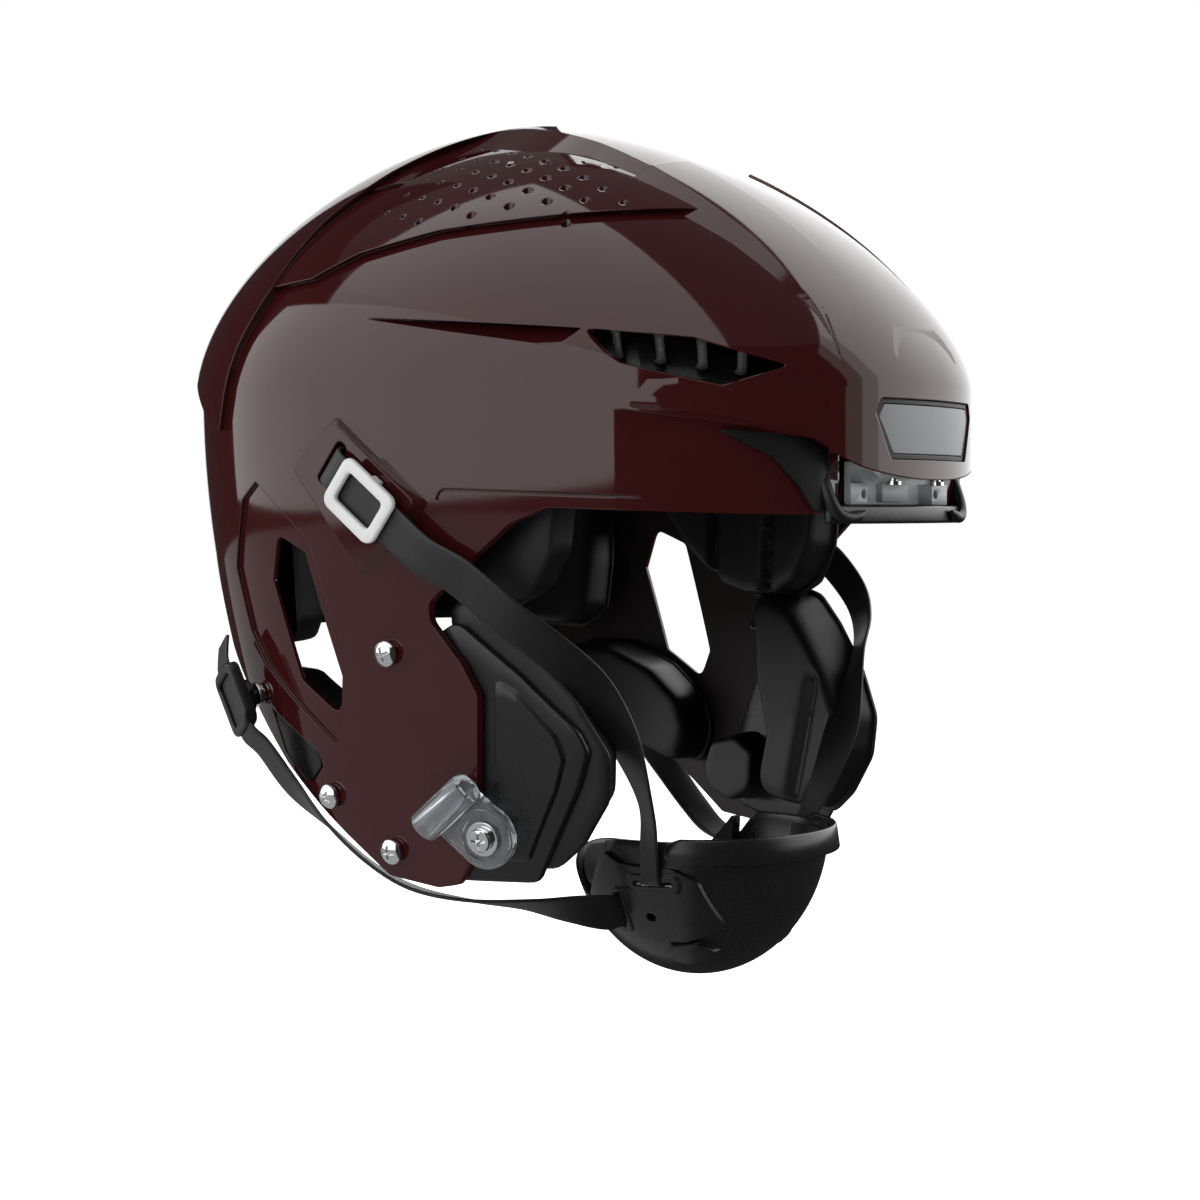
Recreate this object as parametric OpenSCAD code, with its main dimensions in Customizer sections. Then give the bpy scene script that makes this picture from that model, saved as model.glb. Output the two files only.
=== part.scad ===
// Football helmet without its face guard, worn pose, chin strap fastened.
// The front looks along -Y, +X is the wearer's left and +Z is up.
// The origin lies on the middle plane, halfway along the shell, level with the brow lip.

/* [Shell] */
// Width of the shell across the ears
shell_w = 240; // [232:1:250]
// Length of the shell from brow to back
shell_l = 288.6; // [282:0.2:298]
// Height of the crown above the widest level
crown_h = 100; // [96:0.5:106]
// Height of the widest level above the brow lip
wide_z = 34; // [32:0.5:36]
// How far the widest section lies behind mid-length
wide_y = 17.7; // [15:0.1:20]
// Wall of the outer shell
shell_wall = 3.2; // [2.4:0.1:3.6]
// Depth of the layer of bending columns between the two shells
column_gap = 9.5; // [8:0.1:10]
// Wall of the inner shell
inner_wall = 2.4; // [2:0.1:2.6]
// How much lower the side panels lie than the crown band
side_drop = 7; // [5:0.5:9]

/* [Crown] */
// Half width of the crown band where its two front ridges start
band_w = 39; // [36:0.5:42]
// Run of the band's sloping wall
band_wall = 9; // [7:0.5:11]
// Height of the front ridges above the band
ridge_h = 1.6; // [1:0.1:2.4]
// Half width of the channel between the ridges
channel_w = 18; // [15:0.5:21]
// Height of the perforated panels above the side panels
panel_h = 2.6; // [1.6:0.1:3.4]
// Radius of the larger perforations
hole_r = 2.1; // [1.4:0.1:2.6]
// Height of the raised band across the back
back_band_h = 2.4; // [1.6:0.1:3.4]

/* [Sides] */
// Height of the strap boss above the shell
boss_h = 3; // [2:0.1:4]
// Length of the strap boss along the strap
boss_l = 44; // [40:0.5:48]
// Width of the strap boss
boss_w = 33; // [30:0.5:38]
// Depth of the recess round the ear opening
ear_recess = 1.4; // [0.8:0.1:2]
// Depth of the scoop that leads into the side vent
scoop_d = 5; // [3:0.5:6]
// How far the visor's corner stands proud of the brow
horn_h = 4; // [2:0.5:5]

/* [Brow] */
// Spacing of the two screw holes in the brow bracket
bracket_pitch = 50; // [46:0.5:54]
// Radius of the screw holes in the brow bracket
bracket_hole_r = 1.6; // [1.2:0.1:2]
// Height of the brow bracket
bracket_h = 7; // [6:0.5:8]
// Thickness of the brow bracket
bracket_t = 2.5; // [2:0.1:3]
// Height of the bumper under the bracket
bumper_h = 6; // [5:0.5:7]
// Depth of the bumper, front to back
bumper_t = 10; // [8:0.5:11]
// Height of the name plate recess
plate_h = 20; // [17:0.5:22]
// Half width of the name plate recess at its widest
plate_w = 33; // [29:0.5:35]
// Depth of the name plate recess
plate_recess = 2.2; // [1.4:0.1:2.6]
// Thickness of the name plate
plate_t = 1.2; // [0.8:0.1:1.4]

/* [Liner] */
// Thickness of the head liner pads
pad_t = 19; // [15:0.5:22]
// Thickness of the jaw pads
jaw_pad_t = 22; // [16:0.5:25]
// Thickness of the hard jaw plates
jaw_plate_t = 2.6; // [2:0.1:3]

/* [Chin cup] */
// Half width of the chin cup
cup_w = 47; // [44:0.5:49]
// Half depth of the chin cup, front to back
cup_l = 46; // [43:0.5:48]
// Depth of the chin cup below its rim
cup_h = 53; // [48:0.5:56]
// Wall of the chin cup
cup_wall = 2.4; // [1.8:0.1:3]
// Thickness of the chin cup's liner
cup_liner_t = 5; // [3:0.5:7]
// Height of the lip band round the cup's rim
lip_h = 9; // [7:0.5:10]
// Thickness of the lip band
lip_t = 2.6; // [2:0.1:3.2]

/* [Straps] */
// Width of the upper straps
upper_strap_w = 13; // [11:0.5:14]
// Width of the lower straps
lower_strap_w = 12; // [10:0.5:13]
// Thickness of every strap
strap_t = 1.3; // [1:0.1:1.6]
// Length of the white slide buckles along the strap
buckle_l = 25; // [23:0.5:27]
// Width of the white slide buckles' side bars
buckle_bar = 2.4; // [2:0.1:3]

/* [Hardware] */
// Radius of the snap studs' chrome heads
stud_r = 4.3; // [3.8:0.1:4.6]
// Radius of the snap caps
cap_r = 6; // [5.4:0.1:6.6]
// Bore radius of the face guard clips
clip_bore_r = 2.9; // [2.5:0.1:3.2]
// Wall of the clips round their bore
clip_wall = 2.6; // [2.2:0.1:3]
// Length of the clips' bore
clip_l = 22; // [18:0.5:24]
// Radius of the clips' screw lugs
lug_r = 10.5; // [9:0.5:12]
// Shank radius of the clip screws
screw_r = 2.2; // [1.9:0.1:2.5]

/* [Hidden] */

// Running gap between neighbouring pieces, and the extra that faceted domes need beside it
gap = 0.3;
facet_gap = 0.6;
// Rounding exponents of the plan outline and of the crown's profiles
front_n = 2.2;
back_n = 2.3;
side_m = 1.75;
front_m = 1.57;
back_m = 1.68;
// How the jaw and the nape draw in below the widest level, per 100 mm squared
jaw_draw = 0.047;
nape_draw = 0.154;
// The lower front corner behind the visor is pressed in from here forwards
fold_y = fit_y(-82);
fold_squeeze = 0.86;
// Depths below the outer surface at which the layers start
inner_d = shell_wall + column_gap;
liner_d = inner_d + inner_wall + gap + facet_gap;
jaw_d = shell_wall + gap + facet_gap;
jaw_soft_d = jaw_d + jaw_plate_t + gap;
segments = 56;
shell_paint = "#3a1517";
black = "#1c1c1d";
soft_black = "#141415";
chrome = "#d8d8da";

// Outlines and places are drawn on a shell 240 wide and 288.6 long with a crown 100 high over
// a widest level of 34. These make them follow its size; brow and back keep their own lengths
function fit_x(x) = x * shell_w / 240;
function fit_y(y) = abs(y) > 80 ? y + sign(y) * (shell_l - 288.6) / 2 : y * (1 + (shell_l - 288.6) / 160);
function fit_z(z) = z < 14 ? z : z < 34 ? 14 + (z - 14) * (wide_z - 14) / 20 : wide_z + (z - 34) * crown_h / 100;
function fit_place(p) = [fit_x(p.x), fit_y(p.y), fit_z(p.z)];
// An outline seen from the side, as (y, z), from the front, as (x, z), and from the top, as (x, y)
function fit_side(o) = [for (p = o) [fit_y(p[0]), fit_z(p[1])]];
function fit_front(o) = [for (p = o) [fit_x(p[0]), fit_z(p[1])]];
function fit_top(o) = [for (p = o) [fit_x(p[0]), fit_y(p[1])]];

// Surface of the shell at inset d; u is the height above the widest level
function profile(u, h, m) = pow(1 - pow(min(max(u, 0) / h, 1), m), 1 / m);
function low(u) = pow(min(u, 0) / 100, 2);
function half_w(u, d, drop = 0) =
    (shell_w / 2 - d) * profile(u, crown_h - d - drop, side_m) * (1 - jaw_draw * low(u));
function front_l(u, d, drop = 0) =
    (shell_l / 2 + wide_y - d) * profile(u, crown_h - d - drop, front_m);
function back_l(u, d, drop = 0) =
    (shell_l / 2 - wide_y - back_band_h - d) * profile(u, crown_h - d - drop, back_m) * (1 - nape_draw * low(u));
function plan(al, n) = pow(pow(abs(sin(al)), n) + pow(abs(cos(al)), n), -1 / n);
function squeeze(y, on) = on && y < fold_y ? fold_y + (y - fold_y) * fold_squeeze : y;
function skin(al, u, d, drop = 0, folded = false) =
    let (front = cos(al) > 0,
        r = plan(al, front ? front_n : back_n),
        reach = front ? front_l(u, d, drop) : back_l(u, d, drop))
    [half_w(u, d, drop) * sin(al) * r, squeeze(wide_y - reach * cos(al) * r, folded), wide_z + u];
// Half breadth at a place seen from the side, and reach at a place seen from the front or back
function side_x(y, z, d, drop = 0) =
    let (front = y < wide_y,
        reach = front ? front_l(z - wide_z, d, drop) : back_l(z - wide_z, d, drop),
        n = front ? front_n : back_n)
    half_w(z - wide_z, d, drop) * pow(max(1 - pow(min(abs(y - wide_y) / reach, 1), n), 0.0001), 1 / n);
function front_y(x, z, d, drop = 0) =
    wide_y - front_l(z - wide_z, d, drop)
    * pow(1 - pow(abs(x) / half_w(z - wide_z, d, drop), front_n), 1 / front_n);
function back_y(x, z, d, drop = 0) =
    wide_y + back_l(z - wide_z, d, drop)
    * pow(1 - pow(abs(x) / half_w(z - wide_z, d, drop), back_n), 1 / back_n);
function side_normal(y, z, d) =
    let (sy = side_x(y + 1, z, d) - side_x(y - 1, z, d),
        sz = side_x(y, z + 1, d) - side_x(y, z - 1, d),
        n = [-2, -sy, -sz])
    n / norm(n);
// Height above the widest level of a row at latitude la; below it the rows are evenly spaced
function row_u(la, h) = la > 0 ? h * sin(la) : la * 1.75;

// Side that lies at negative x, and its mirror image
module left() mirror([1, 0, 0]) children();
module both() {
    children();
    left() children();
}
// Puts +Z along the outward normal of the right side, with +X down and +Y to the front
module on_right(y, z, d) {
    n = side_normal(y, z, d);
    translate([-side_x(y, z, d), y, z]) rotate([0, acos(n.z), atan2(n.y, n.x)]) children();
}
// Prism through the whole breadth with an outline drawn as (y, z)
module side_prism(x0, x1) translate([x0, 0, 0]) rotate([90, 0, 90]) linear_extrude(x1 - x0) children();
module rounded(r) offset(r = r, $fn = 16) offset(r = -2 * r, $fn = 16) offset(r = r, $fn = 16) children();
module hull_of(points, size = 0.4) hull() for (p = points) translate(p) cube(size, center = true);
module fitted_hull(points, size = 0.4) hull_of([for (p = points) fit_place(p)], size);
module at_brow() translate([0, (288.6 - shell_l) / 2, 0]) children();

// Closed dome of the shell's shape at inset d, down to the latitude bottom
module dome(d, drop = 0, folded = false, bottom = -106, step = 8, around = segments) {
    h = crown_h - d - drop;
    lats = concat([84, 77], [for (la = 70; la > 0; la = la - step) la],
        [for (la = 0; la > bottom; la = la - 2 * step) la], [bottom]);
    rings = len(lats);
    points = concat([[0, wide_y, wide_z + h]],
        [for (la = lats) for (k = [0:around - 1]) skin(k * 360 / around, row_u(la, h), d, drop, folded)]);
    last = 1 + (rings - 1) * around;
    polyhedron(points, concat(
        [for (k = [0:around - 1]) [0, 1 + (k + 1) % around, 1 + k]],
        [for (i = [0:rings - 2]) for (k = [0:around - 1])
            [1 + i * around + k, 1 + i * around + (k + 1) % around,
             1 + (i + 1) * around + (k + 1) % around]],
        [for (i = [0:rings - 2]) for (k = [0:around - 1])
            [1 + i * around + k, 1 + (i + 1) * around + (k + 1) % around, 1 + (i + 1) * around + k]],
        [[for (k = [0:around - 1]) last + k]]));
}

// Wedge that spreads from a line inside the head and cuts the crown band out of a dome.
// Each station: angle forward from the top, radius of the band's edge, half width there
fan_centre = [0, 20];
band_stations = [[-50, 124, band_w + 6], [-20, 107, band_w + 6], [-8, 109, band_w - 11],
    [5, 107, band_w - 10], [18, 104.5, band_w - 5.5], [32, 104.7, band_w], [44, 108.7, band_w + 2],
    [58, 118, band_w + 2], [70, 128, band_w + 3], [80, 134, band_w + 6.5], [89, 137.5, band_w + 2],
    [104, 146, band_w - 14]];
module fan_wedge(stations, wall, shift = 0) {
    above = 8;
    below = 16;
    function ring(s) = let (
        w_up = max(s[2] + shift - wall(s[0]) * above, 1),
        w_dn = s[2] + shift + wall(s[0]) * below,
        up = s[1] + above, dn = s[1] - below)
        [for (c = [[w_up, up], [-w_up, up], [-w_dn, dn], [w_dn, dn]])
            fit_place([c[0], fan_centre[0] - c[1] * sin(s[0]), fan_centre[1] + c[1] * cos(s[0])])];
    n = len(stations);
    polyhedron([for (s = stations) each ring(s)], concat(
        [[0, 1, 2, 3]], [[for (k = [3:-1:0]) 4 * (n - 1) + k]],
        [for (i = [0:n - 2]) for (k = [0:3]) each [
            [4 * i + k, 4 * (i + 1) + k, 4 * i + (k + 1) % 4],
            [4 * i + (k + 1) % 4, 4 * (i + 1) + k, 4 * (i + 1) + (k + 1) % 4]]]));
}

// Side view outlines, as (y, z)
visor_line = [[-85, 24], [-100, 21.5], [-115, 19], [-122.5, 19], [-128, 17], [-131.5, 13.5],
    [-135, 9], [-138, 6], [-141, 4], [-144, 2.2], [-160, 2]];
shell_edge = [[-128, 12], [-128, -9.5], [-62, -7], [-50, -12], [-27, -32], [-20, -38], [-20, -44],
    [-31, -58], [-36, -68], [-34, -90], [-30.5, -120], [-22, -132], [-14, -133.5], [6, -131],
    [32.5, -111], [52, -95.5], [75.5, -72], [92, -58], [112, -53], [160, -52]];
ear_hole = [[47, -16], [51, -32], [39, -66], [22, -77], [18.5, -66], [33, -22]];
ear_facet = [[57, 2], [66, -4], [74, -28], [67, -50], [58, -62], [24, -87], [20, -78], [17, -56], [30, -18]];
vent = [[-71, 50], [-102, 46.5], [-125, 38], [-121, 36], [-111, 31.5], [-84, 38.5], [-79, 42]];
crease = [[62, 69], [38, 71], [21, 79], [-8, 85.5], [-47, 89.5], [-70, 91.5], [-84, 92.5]];
back_band = [[58, 69], [51, 92], [39, 112], [30, 122], [8, 140], [160, 140], [160, 34], [112, 42],
    [90, 25], [78, 20], [68, 48]];

module below_visor(up) translate([0, 0, up]) side_prism(-shell_w, shell_w)
    polygon(fit_side(concat(visor_line, [[-160, -1.5 * crown_h], [-82, -1.5 * crown_h], [-82, 24]])));
// Everything that the shell and what follows its edge keep, seen from the side
module kept() side_prism(-shell_w, shell_w) rounded(2.5) polygon(fit_side(concat(
    [[160, 180], [-160, 180], [-160, -1], [-148, -1], [-137, 5.5], [-132, 12]], shell_edge)));

function band_slope(phi) = phi > 76 ? 0.2 : band_wall * (phi < 12 ? 1.5 : 1) / 8;
module crown_band(d, around) difference() {
    intersection() {
        dome(d, around = around);
        fan_wedge([for (s = band_stations) [s[0] + (s[0] < -60 ? d : 0), s[1], s[2]]],
            function (phi) band_slope(phi), -d * 1.3);
    }
    below_visor(d);
}
// Side panels, pressed-in lower front corners and crown band at one inset
module shell_form(d, around = segments) {
    difference() {
        dome(d, side_drop, around = around);
        below_visor(d);
    }
    dome(d, side_drop, folded = true, around = around);
    crown_band(d, around);
}
ridge_stations = [for (s = band_stations) if (s[0] > 31) s];
module ridges() difference() {
    intersection() {
        dome(0.5, -ridge_h - 1);
        fan_wedge([for (s = ridge_stations) [s[0], s[1] + ridge_h, s[2]]], function (phi) band_slope(phi));
    }
    fan_wedge([for (s = ridge_stations) [s[0] - (s[0] < 33 ? 3 : 0), s[1] + 2, channel_w]],
        function (phi) -0.8);
    below_visor(0.5);
}
module perforated_panels() intersection() {
    dome(-panel_h, side_drop + 0.6);
    side_prism(-shell_w, shell_w) polygon(fit_side(concat(crease, [[-84, 160], [62, 160]])));
    both() translate([-shell_w / 2, -shell_l / 2, 0]) cube([shell_w / 2 - band_w + 16, shell_l, 2 * crown_h]);
}
module rear_band() intersection() {
    dome(-back_band_h, back_band_h);
    side_prism(-shell_w, shell_w) polygon(fit_side(back_band));
}
// Strap boss on the right side; +X runs along the strap towards the chin
strap_place = [fit_y(3.2), -1.5];
strap_turn = 51.8;
module at_boss() on_right(strap_place[0], strap_place[1], 0) rotate([0, 0, strap_turn]) children();
boss_outline = [[-boss_l / 2 - 1, boss_w / 3], [boss_l / 2 - 2, boss_w / 3],
    [boss_l / 2 - 8, -boss_w * 2 / 3], [-boss_l / 2 - 6, -boss_w / 3 - 1]];
module strap_boss() at_boss() hull() {
    translate([0, 0, -3]) linear_extrude(1) offset(delta = 1.5) polygon(boss_outline);
    linear_extrude(boss_h) polygon(boss_outline);
}
// Raised corner of the visor beside the brow
module visor_horn() fitted_hull([[-96, -86, 27], [-86, -103, 32], [-77.5, -114, 36],
    [-64 - horn_h * 0.6, -125 - horn_h * 0.5, 37], [-56 - horn_h * 0.5, -131 - horn_h * 0.7, 35],
    [-48.5, -133.5, 36], [-51, -133, 16], [-60, -127, 18], [-72, -117, 20], [-86, -100, 22],
    [-50, -110, 25], [-74 - horn_h * 0.5, -115 - horn_h * 0.4, 27]]);
module vent_scoop(t) fitted_hull([[-115.5 + t, 12, 56.2], [-124, 10, 55.8], [-118, -70, 50.3],
    [-101.5 + scoop_d + t, -71 + t, 49.8], [-103 + t, -64 + t, 44 - t], [-112, -66, 44.5 - t]]);
// Places of the larger perforations on the right panel, as (x, y)
hole_places = fit_top([[-52, -12], [-58, -26], [-66, -38], [-62, -4], [-70, -16], [-78, -26],
    [-57, 14], [-68, 8], [-79, -2], [-64, 26]]);

module outer_shell() color(shell_paint) difference() {
    intersection() {
        union() {
            shell_form(0);
            ridges();
            perforated_panels();
            rear_band();
            both() strap_boss();
            both() visor_horn();
        }
        kept();
    }
    difference() {
        shell_form(shell_wall, 40);
        both() vent_scoop(shell_wall);
    }
    both() vent_scoop(0);
    both() side_prism(-shell_w, -40) polygon(fit_side(vent));
    both() side_prism(-shell_w, -60) rounded(1.5) polygon(fit_side(ear_hole));
    both() sunk(ear_facet, ear_recess);
    both() at_boss() translate([-17.5, -8.3, -16]) cube([5, 16.6, 30]);
    for (p = hole_places) both() translate([p[0], p[1], 0]) cylinder(h = 2 * crown_h, r = hole_r, $fn = 6);
    both() for (s = stud_places) on_right(s[0], s[1], 0) translate([0, 0, -9])
        cylinder(h = 20, r = stud_shank_r + gap, $fn = 10);
    both() at_clip() translate([0, 0, -9]) cylinder(h = 20, r = nut_r + gap, $fn = 20);
    at_brow() both() translate([-15, screw_y, 0]) cylinder(h = 10.4, r = 1.8, $fn = 12);
    plate_recess_cut();
    both() sunk(trim_outline, 1.2);
}
// What sinks a flat-edged area of the right side by a depth
module sunk(outline, depth) difference() {
    side_prism(-shell_w, -60) polygon(fit_side(outline));
    dome(depth);
}

// Inner shell: an arch that carries the liner, slotted so that it can flex
inner_edge = [[-150, 22], [-104, 20], [-60, 14], [-30, 10], [20, 8], [60, -10], [92, -34], [160, -34]];
module inner_shell() color(black) difference() {
    intersection() {
        dome(inner_d, side_drop, bottom = -44, step = 10, around = 44);
        side_prism(-shell_w, shell_w) polygon(fit_side(concat([[160, 180], [-150, 180]], inner_edge)));
    }
    dome(inner_d + inner_wall, side_drop, bottom = -50, step = 10, around = 44);
    both() for (y = [-52, -26, 26, 52]) fitted_hull([[-26, y, 90], [-26, y, 140], [-62, y * 1.12, 90],
        [-62, y * 1.12, 140]], 6);
}

// Columns between the shells, each from shell to shell with domed ends
column_r = 2.6;
module column(al, la, drop = side_drop, reach = 0) {
    top = shell_wall + gap + facet_gap + column_r;
    foot = inner_d - gap - column_r + reach;
    a = skin(al, row_u(la, crown_h - top - drop), top, drop);
    b = skin(al, row_u(la, crown_h - foot - side_drop), foot, side_drop);
    axis = a - b;
    translate(b) rotate([0, acos(axis.z / norm(axis)), atan2(axis.y, axis.x)]) {
        cylinder(h = norm(axis), r = column_r, $fn = 24);
        sphere(column_r, $fn = 24);
        translate([0, 0, norm(axis)]) sphere(column_r, $fn = 24);
    }
}
column_rows = [[14, 14, 9], [38, 12, 6], [58, 10, 12], [74, 6, 24]];
module crown_columns() color(black) for (r = column_rows) for (k = [0:r[1] - 1]) let (al = r[2] + k * 360 / r[1])
    if (!(r[0] < 20 && (abs(al - 52) < 30 || abs(al - 308) < 30))) let (
        p = skin(al, row_u(r[0], crown_h - side_drop), 0, side_drop))
        if (abs(p.x) > fit_x(56) || abs(p.x) < fit_x(18))
            column(al, r[0], abs(p.x) < fit_x(18) && p.y < fit_y(84) ? 0 : side_drop);
// Columns that show in the side vents
vent_column_places = [[-52, 7.3], [-46.5, 6.2], [-41, 5], [-35.5, 3.8]];
module vent_columns() color(black) both() for (p = vent_column_places) column(p[0], p[1], reach = 0.8);

// Soft seal that fills the corner between the visor and the pressed-in side wall
seal_outline = [[-108, 18.2], [-115, 17], [-121.5, 17], [-126, 14.8], [-128.8, 11], [-128.8, -7],
    [-127, -8.5], [-124.5, 0], [-120, 9], [-113.5, 14]];
module brow_seal() color(soft_black) intersection() {
    difference() {
        dome(-1.2 - gap, side_drop, folded = true, bottom = -40, around = 96);
        dome(-gap, side_drop, folded = true, bottom = -46, around = 96);
    }
    side_prism(-shell_w, -30) polygon(fit_side(seal_outline));
}
module brow_seal_right() brow_seal();
module brow_seal_left() left() brow_seal();

// Name plate: a bare plate sunk in the brow
plate_z = 18.6;
module plate_outline(inset) offset(delta = -inset) polygon([[-plate_w + 2.5, plate_z + plate_h / 2],
    [plate_w - 2.5, plate_z + plate_h / 2], [plate_w, plate_z + plate_h / 4],
    [plate_w - 7, plate_z - plate_h / 2], [-plate_w + 7, plate_z - plate_h / 2],
    [-plate_w, plate_z + plate_h / 4]]);
module front_prism(inset) translate([0, fit_y(-100), 0]) rotate([90, 0, 0]) linear_extrude(80) plate_outline(inset);
module plate_recess_cut() difference() {
    front_prism(0);
    dome(plate_recess, bottom = -30, around = 96);
}
module name_plate() color("#6a6c6c") intersection() {
    difference() {
        dome(plate_recess - gap - plate_t, bottom = -24, around = 96);
        dome(plate_recess - gap, bottom = -28, around = 96);
    }
    front_prism(1.6);
}

// Brow bracket: a metal strip under the lip, flat where its two screw holes are
bracket_y = -127.5;
bracket_z = -2.5;
bracket_low = bracket_z - bracket_h / 2;
bracket_end = 42;
flange_z = 8.2;
screw_y = -136.5;
// Plan of the strip: set back between the shell's corners, its ends stepped forward
function step_line(y, front, x0 = 29, x1 = 34) = concat(
    [[-bracket_end, front], [-x1, front], [-x0, y], [x0, y], [x1, front], [bracket_end, front]]);
module front_bracket() color("#8a8c8e") at_brow() difference() {
    union() {
        translate([0, 0, bracket_low]) linear_extrude(bracket_h) polygon(concat(
            step_line(bracket_y, -133), [for (k = [5:-1:0]) step_line(bracket_y + bracket_t, -130.5, 28, 33)[k]]));
        translate([-27.5, 0, 0]) rotate([90, 0, 90]) linear_extrude(55)
            polygon([[bracket_y, bracket_low + 1], [bracket_y + bracket_t, bracket_low + 1],
                [bracket_y + bracket_t, flange_z], [-134.6, flange_z], [-138.6, 4.6], [-138.6, 2.1],
                [-134, flange_z - bracket_t], [bracket_y, flange_z - bracket_t]]);
        translate([-9, bracket_y - 1.5, bracket_low + 1]) cube([18, 1.6, bracket_h - 1]);
    }
    both() translate([-bracket_pitch / 2, bracket_y - 3, bracket_z]) rotate([-90, 0, 0])
        cylinder(h = bracket_t + 6, r = bracket_hole_r, $fn = 32);
    both() translate([-15, screw_y, 0]) cylinder(h = 20, r = 1.8, $fn = 32);
}
// Two screws that hold the bracket's flange up to the lip
module bracket_screws() color(chrome) at_brow() both() translate([-15, screw_y, 0]) {
    translate([0, 0, 1.7]) cylinder(h = 8.3, r = 1.5, $fn = 32);
    translate([0, 0, 0.4]) cylinder(h = 1.4, r = 2.6, $fn = 32);
}
// Bumper bar under the bracket, with a loop at each end that hooks round its tip
bumper_z = bracket_low - gap - bumper_h;
function bow(x) = -135.5 + x * x / 900;
module front_bumper() color(black) at_brow() translate([0, 0, bumper_z]) linear_extrude(bumper_h)
    offset(r = 1, $fn = 24) offset(delta = -1) polygon(concat(
        [for (x = [-46:11.5:46]) [x, bow(x)]],
        [[46, -130.1], [32, -130.1], [28, bow(0) + bumper_t], [-28, bow(0) + bumper_t],
            [-32, -130.1], [-46, -130.1]]));
module bumper_loops() color(soft_black) at_brow() both() translate([0, 0, bumper_z]) difference() {
    linear_extrude(bumper_h + 10) offset(r = 1.2, $fn = 16) offset(delta = -1.2)
        polygon([[-50, -137.4], [-45, -139], [-42.9, -136.5], [-42.9, -130.1], [-49.6, -130.1]]);
    translate([-52, -135.5, bumper_h + gap]) cube([12, 3.5, 7]);
    translate([-46.8, -135.2, -1]) cube([6, 14, bumper_h + 1 + gap]);
}

// Pads: an outline on the side, crowned towards the head, with rounded edges
function centre_of(o) = [for (k = [0, 1]) let (v = [for (p = o) p[k]]) (max(v) + min(v)) / 2];
function along(o, s) = let (n = len(o), i = floor(s * n), f = s * n - i) o[i % n] * (1 - f) + o[(i + 1) % n] * f;
// Outline resampled and drawn round at its corners
function soft_outline(o, count, r) = [for (k = [0:count - 1]) let (s = k / count)
    (along(o, s + r / len(o)) + along(o, s - r / len(o) + 1) + along(o, s) * 2) / 4];
// Rings of a pad from its back to its crown: scale of the outline and share of the thickness
pad_rings = [[0.45, 0], [0.9, 0], [1, 0.12], [1, 0.55], [0.93, 0.82], [0.72, 0.96], [0.38, 1]];
plate_rings = [[0.4, 0], [0.75, 0], [1, 0], [1, 1], [0.75, 1], [0.4, 1]];
module pad_solid(o, place, rings) {
    c = centre_of(o);
    n = len(o);
    m = len(rings);
    points = concat([place(c, 0)],
        [for (r = rings) for (p = o) place(c + (p - c) * r[0], r[1])], [place(c, rings[m - 1][1])]);
    polyhedron(points, concat(
        [for (k = [0:n - 1]) [0, 1 + k, 1 + (k + 1) % n]],
        [for (i = [0:m - 2]) for (k = [0:n - 1]) each [
            [1 + i * n + k, 1 + (i + 1) * n + k, 1 + (i + 1) * n + (k + 1) % n],
            [1 + i * n + k, 1 + (i + 1) * n + (k + 1) % n, 1 + i * n + (k + 1) % n]]],
        [for (k = [0:n - 1]) [1 + m * n, 1 + (m - 1) * n + (k + 1) % n, 1 + (m - 1) * n + k]]));
}
// On the right side, between insets d and d + t, leaning forward with depth
module side_piece(outline, d, t, rings = pad_rings, lean = 0, count = 24, drop = side_drop)
    pad_solid(soft_outline(fit_side(outline), count, 0.35),
        function (p, s) let (y = p[0] + lean * s * t, at = d + s * t) [-side_x(y, p[1], at, drop), y, p[1]],
        rings);
side_pad = [[-8, 34], [-46, 30], [-56, 4], [-53, -22], [-46, -36], [-33, -43], [-18, -44], [-4, -40],
    [16, -24], [28, -8], [32, 24]];
back_pad = [[58, 6], [57, -30], [58, -50], [66, -57], [82, -55], [92, -44], [96, -18], [94, 4], [76, 10]];
neck_pad = [[54, -62], [33, -72], [18, -85], [13, -98], [17, -113], [34, -106], [52, -91], [74, -69], [72, -62]];
jaw_plate = [[-27, -44], [-48, -61], [-66, -79], [-69, -86], [-65, -98], [-49, -130], [-21, -131],
    [-4, -127], [0, -100], [-10, -70], [-20, -48]];
jaw_pad = [[-30, -46], [-46, -56], [-66, -80], [-73, -90], [-73, -102], [-64, -117], [-54, -126],
    [-30, -122], [-34, -98], [-28, -72]];
jaw_block = [[4, -100], [-9, -97], [-19, -103], [-19, -119], [-8, -125], [3, -121], [7, -112]];
module side_pad() color(soft_black) side_piece(side_pad, liner_d, pad_t);
module side_pad_right() side_pad();
module side_pad_left() left() side_pad();
module back_pad() color(soft_black) side_piece(back_pad, liner_d, pad_t * 0.8);
module back_pad_right() back_pad();
module back_pad_left() left() back_pad();
module neck_pad() color(soft_black) side_piece(neck_pad, jaw_d, pad_t + 2);
module neck_pad_right() neck_pad();
module neck_pad_left() left() neck_pad();
module jaw_plate() color(black) difference() {
    side_piece(jaw_plate, jaw_d, jaw_plate_t, plate_rings);
    at_clip() translate([0, 0, -20]) cylinder(h = 40, r = screw_r + gap, $fn = 20);
}
module jaw_plate_right() jaw_plate();
module jaw_plate_left() left() jaw_plate();
module jaw_pad() color(soft_black) side_piece(jaw_pad, jaw_soft_d, jaw_pad_t, lean = 0.35);
module jaw_pad_right() jaw_pad();
module jaw_pad_left() left() jaw_pad();
module jaw_block() color(soft_black) side_piece(jaw_block, jaw_soft_d, jaw_pad_t * 0.75);
module jaw_block_right() jaw_block();
module jaw_block_left() left() jaw_block();
front_pad = [[-44, 26], [-44, 46], [-30, 66], [0, 70], [30, 66], [44, 46], [44, 26], [20, 20], [-20, 20]];
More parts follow.
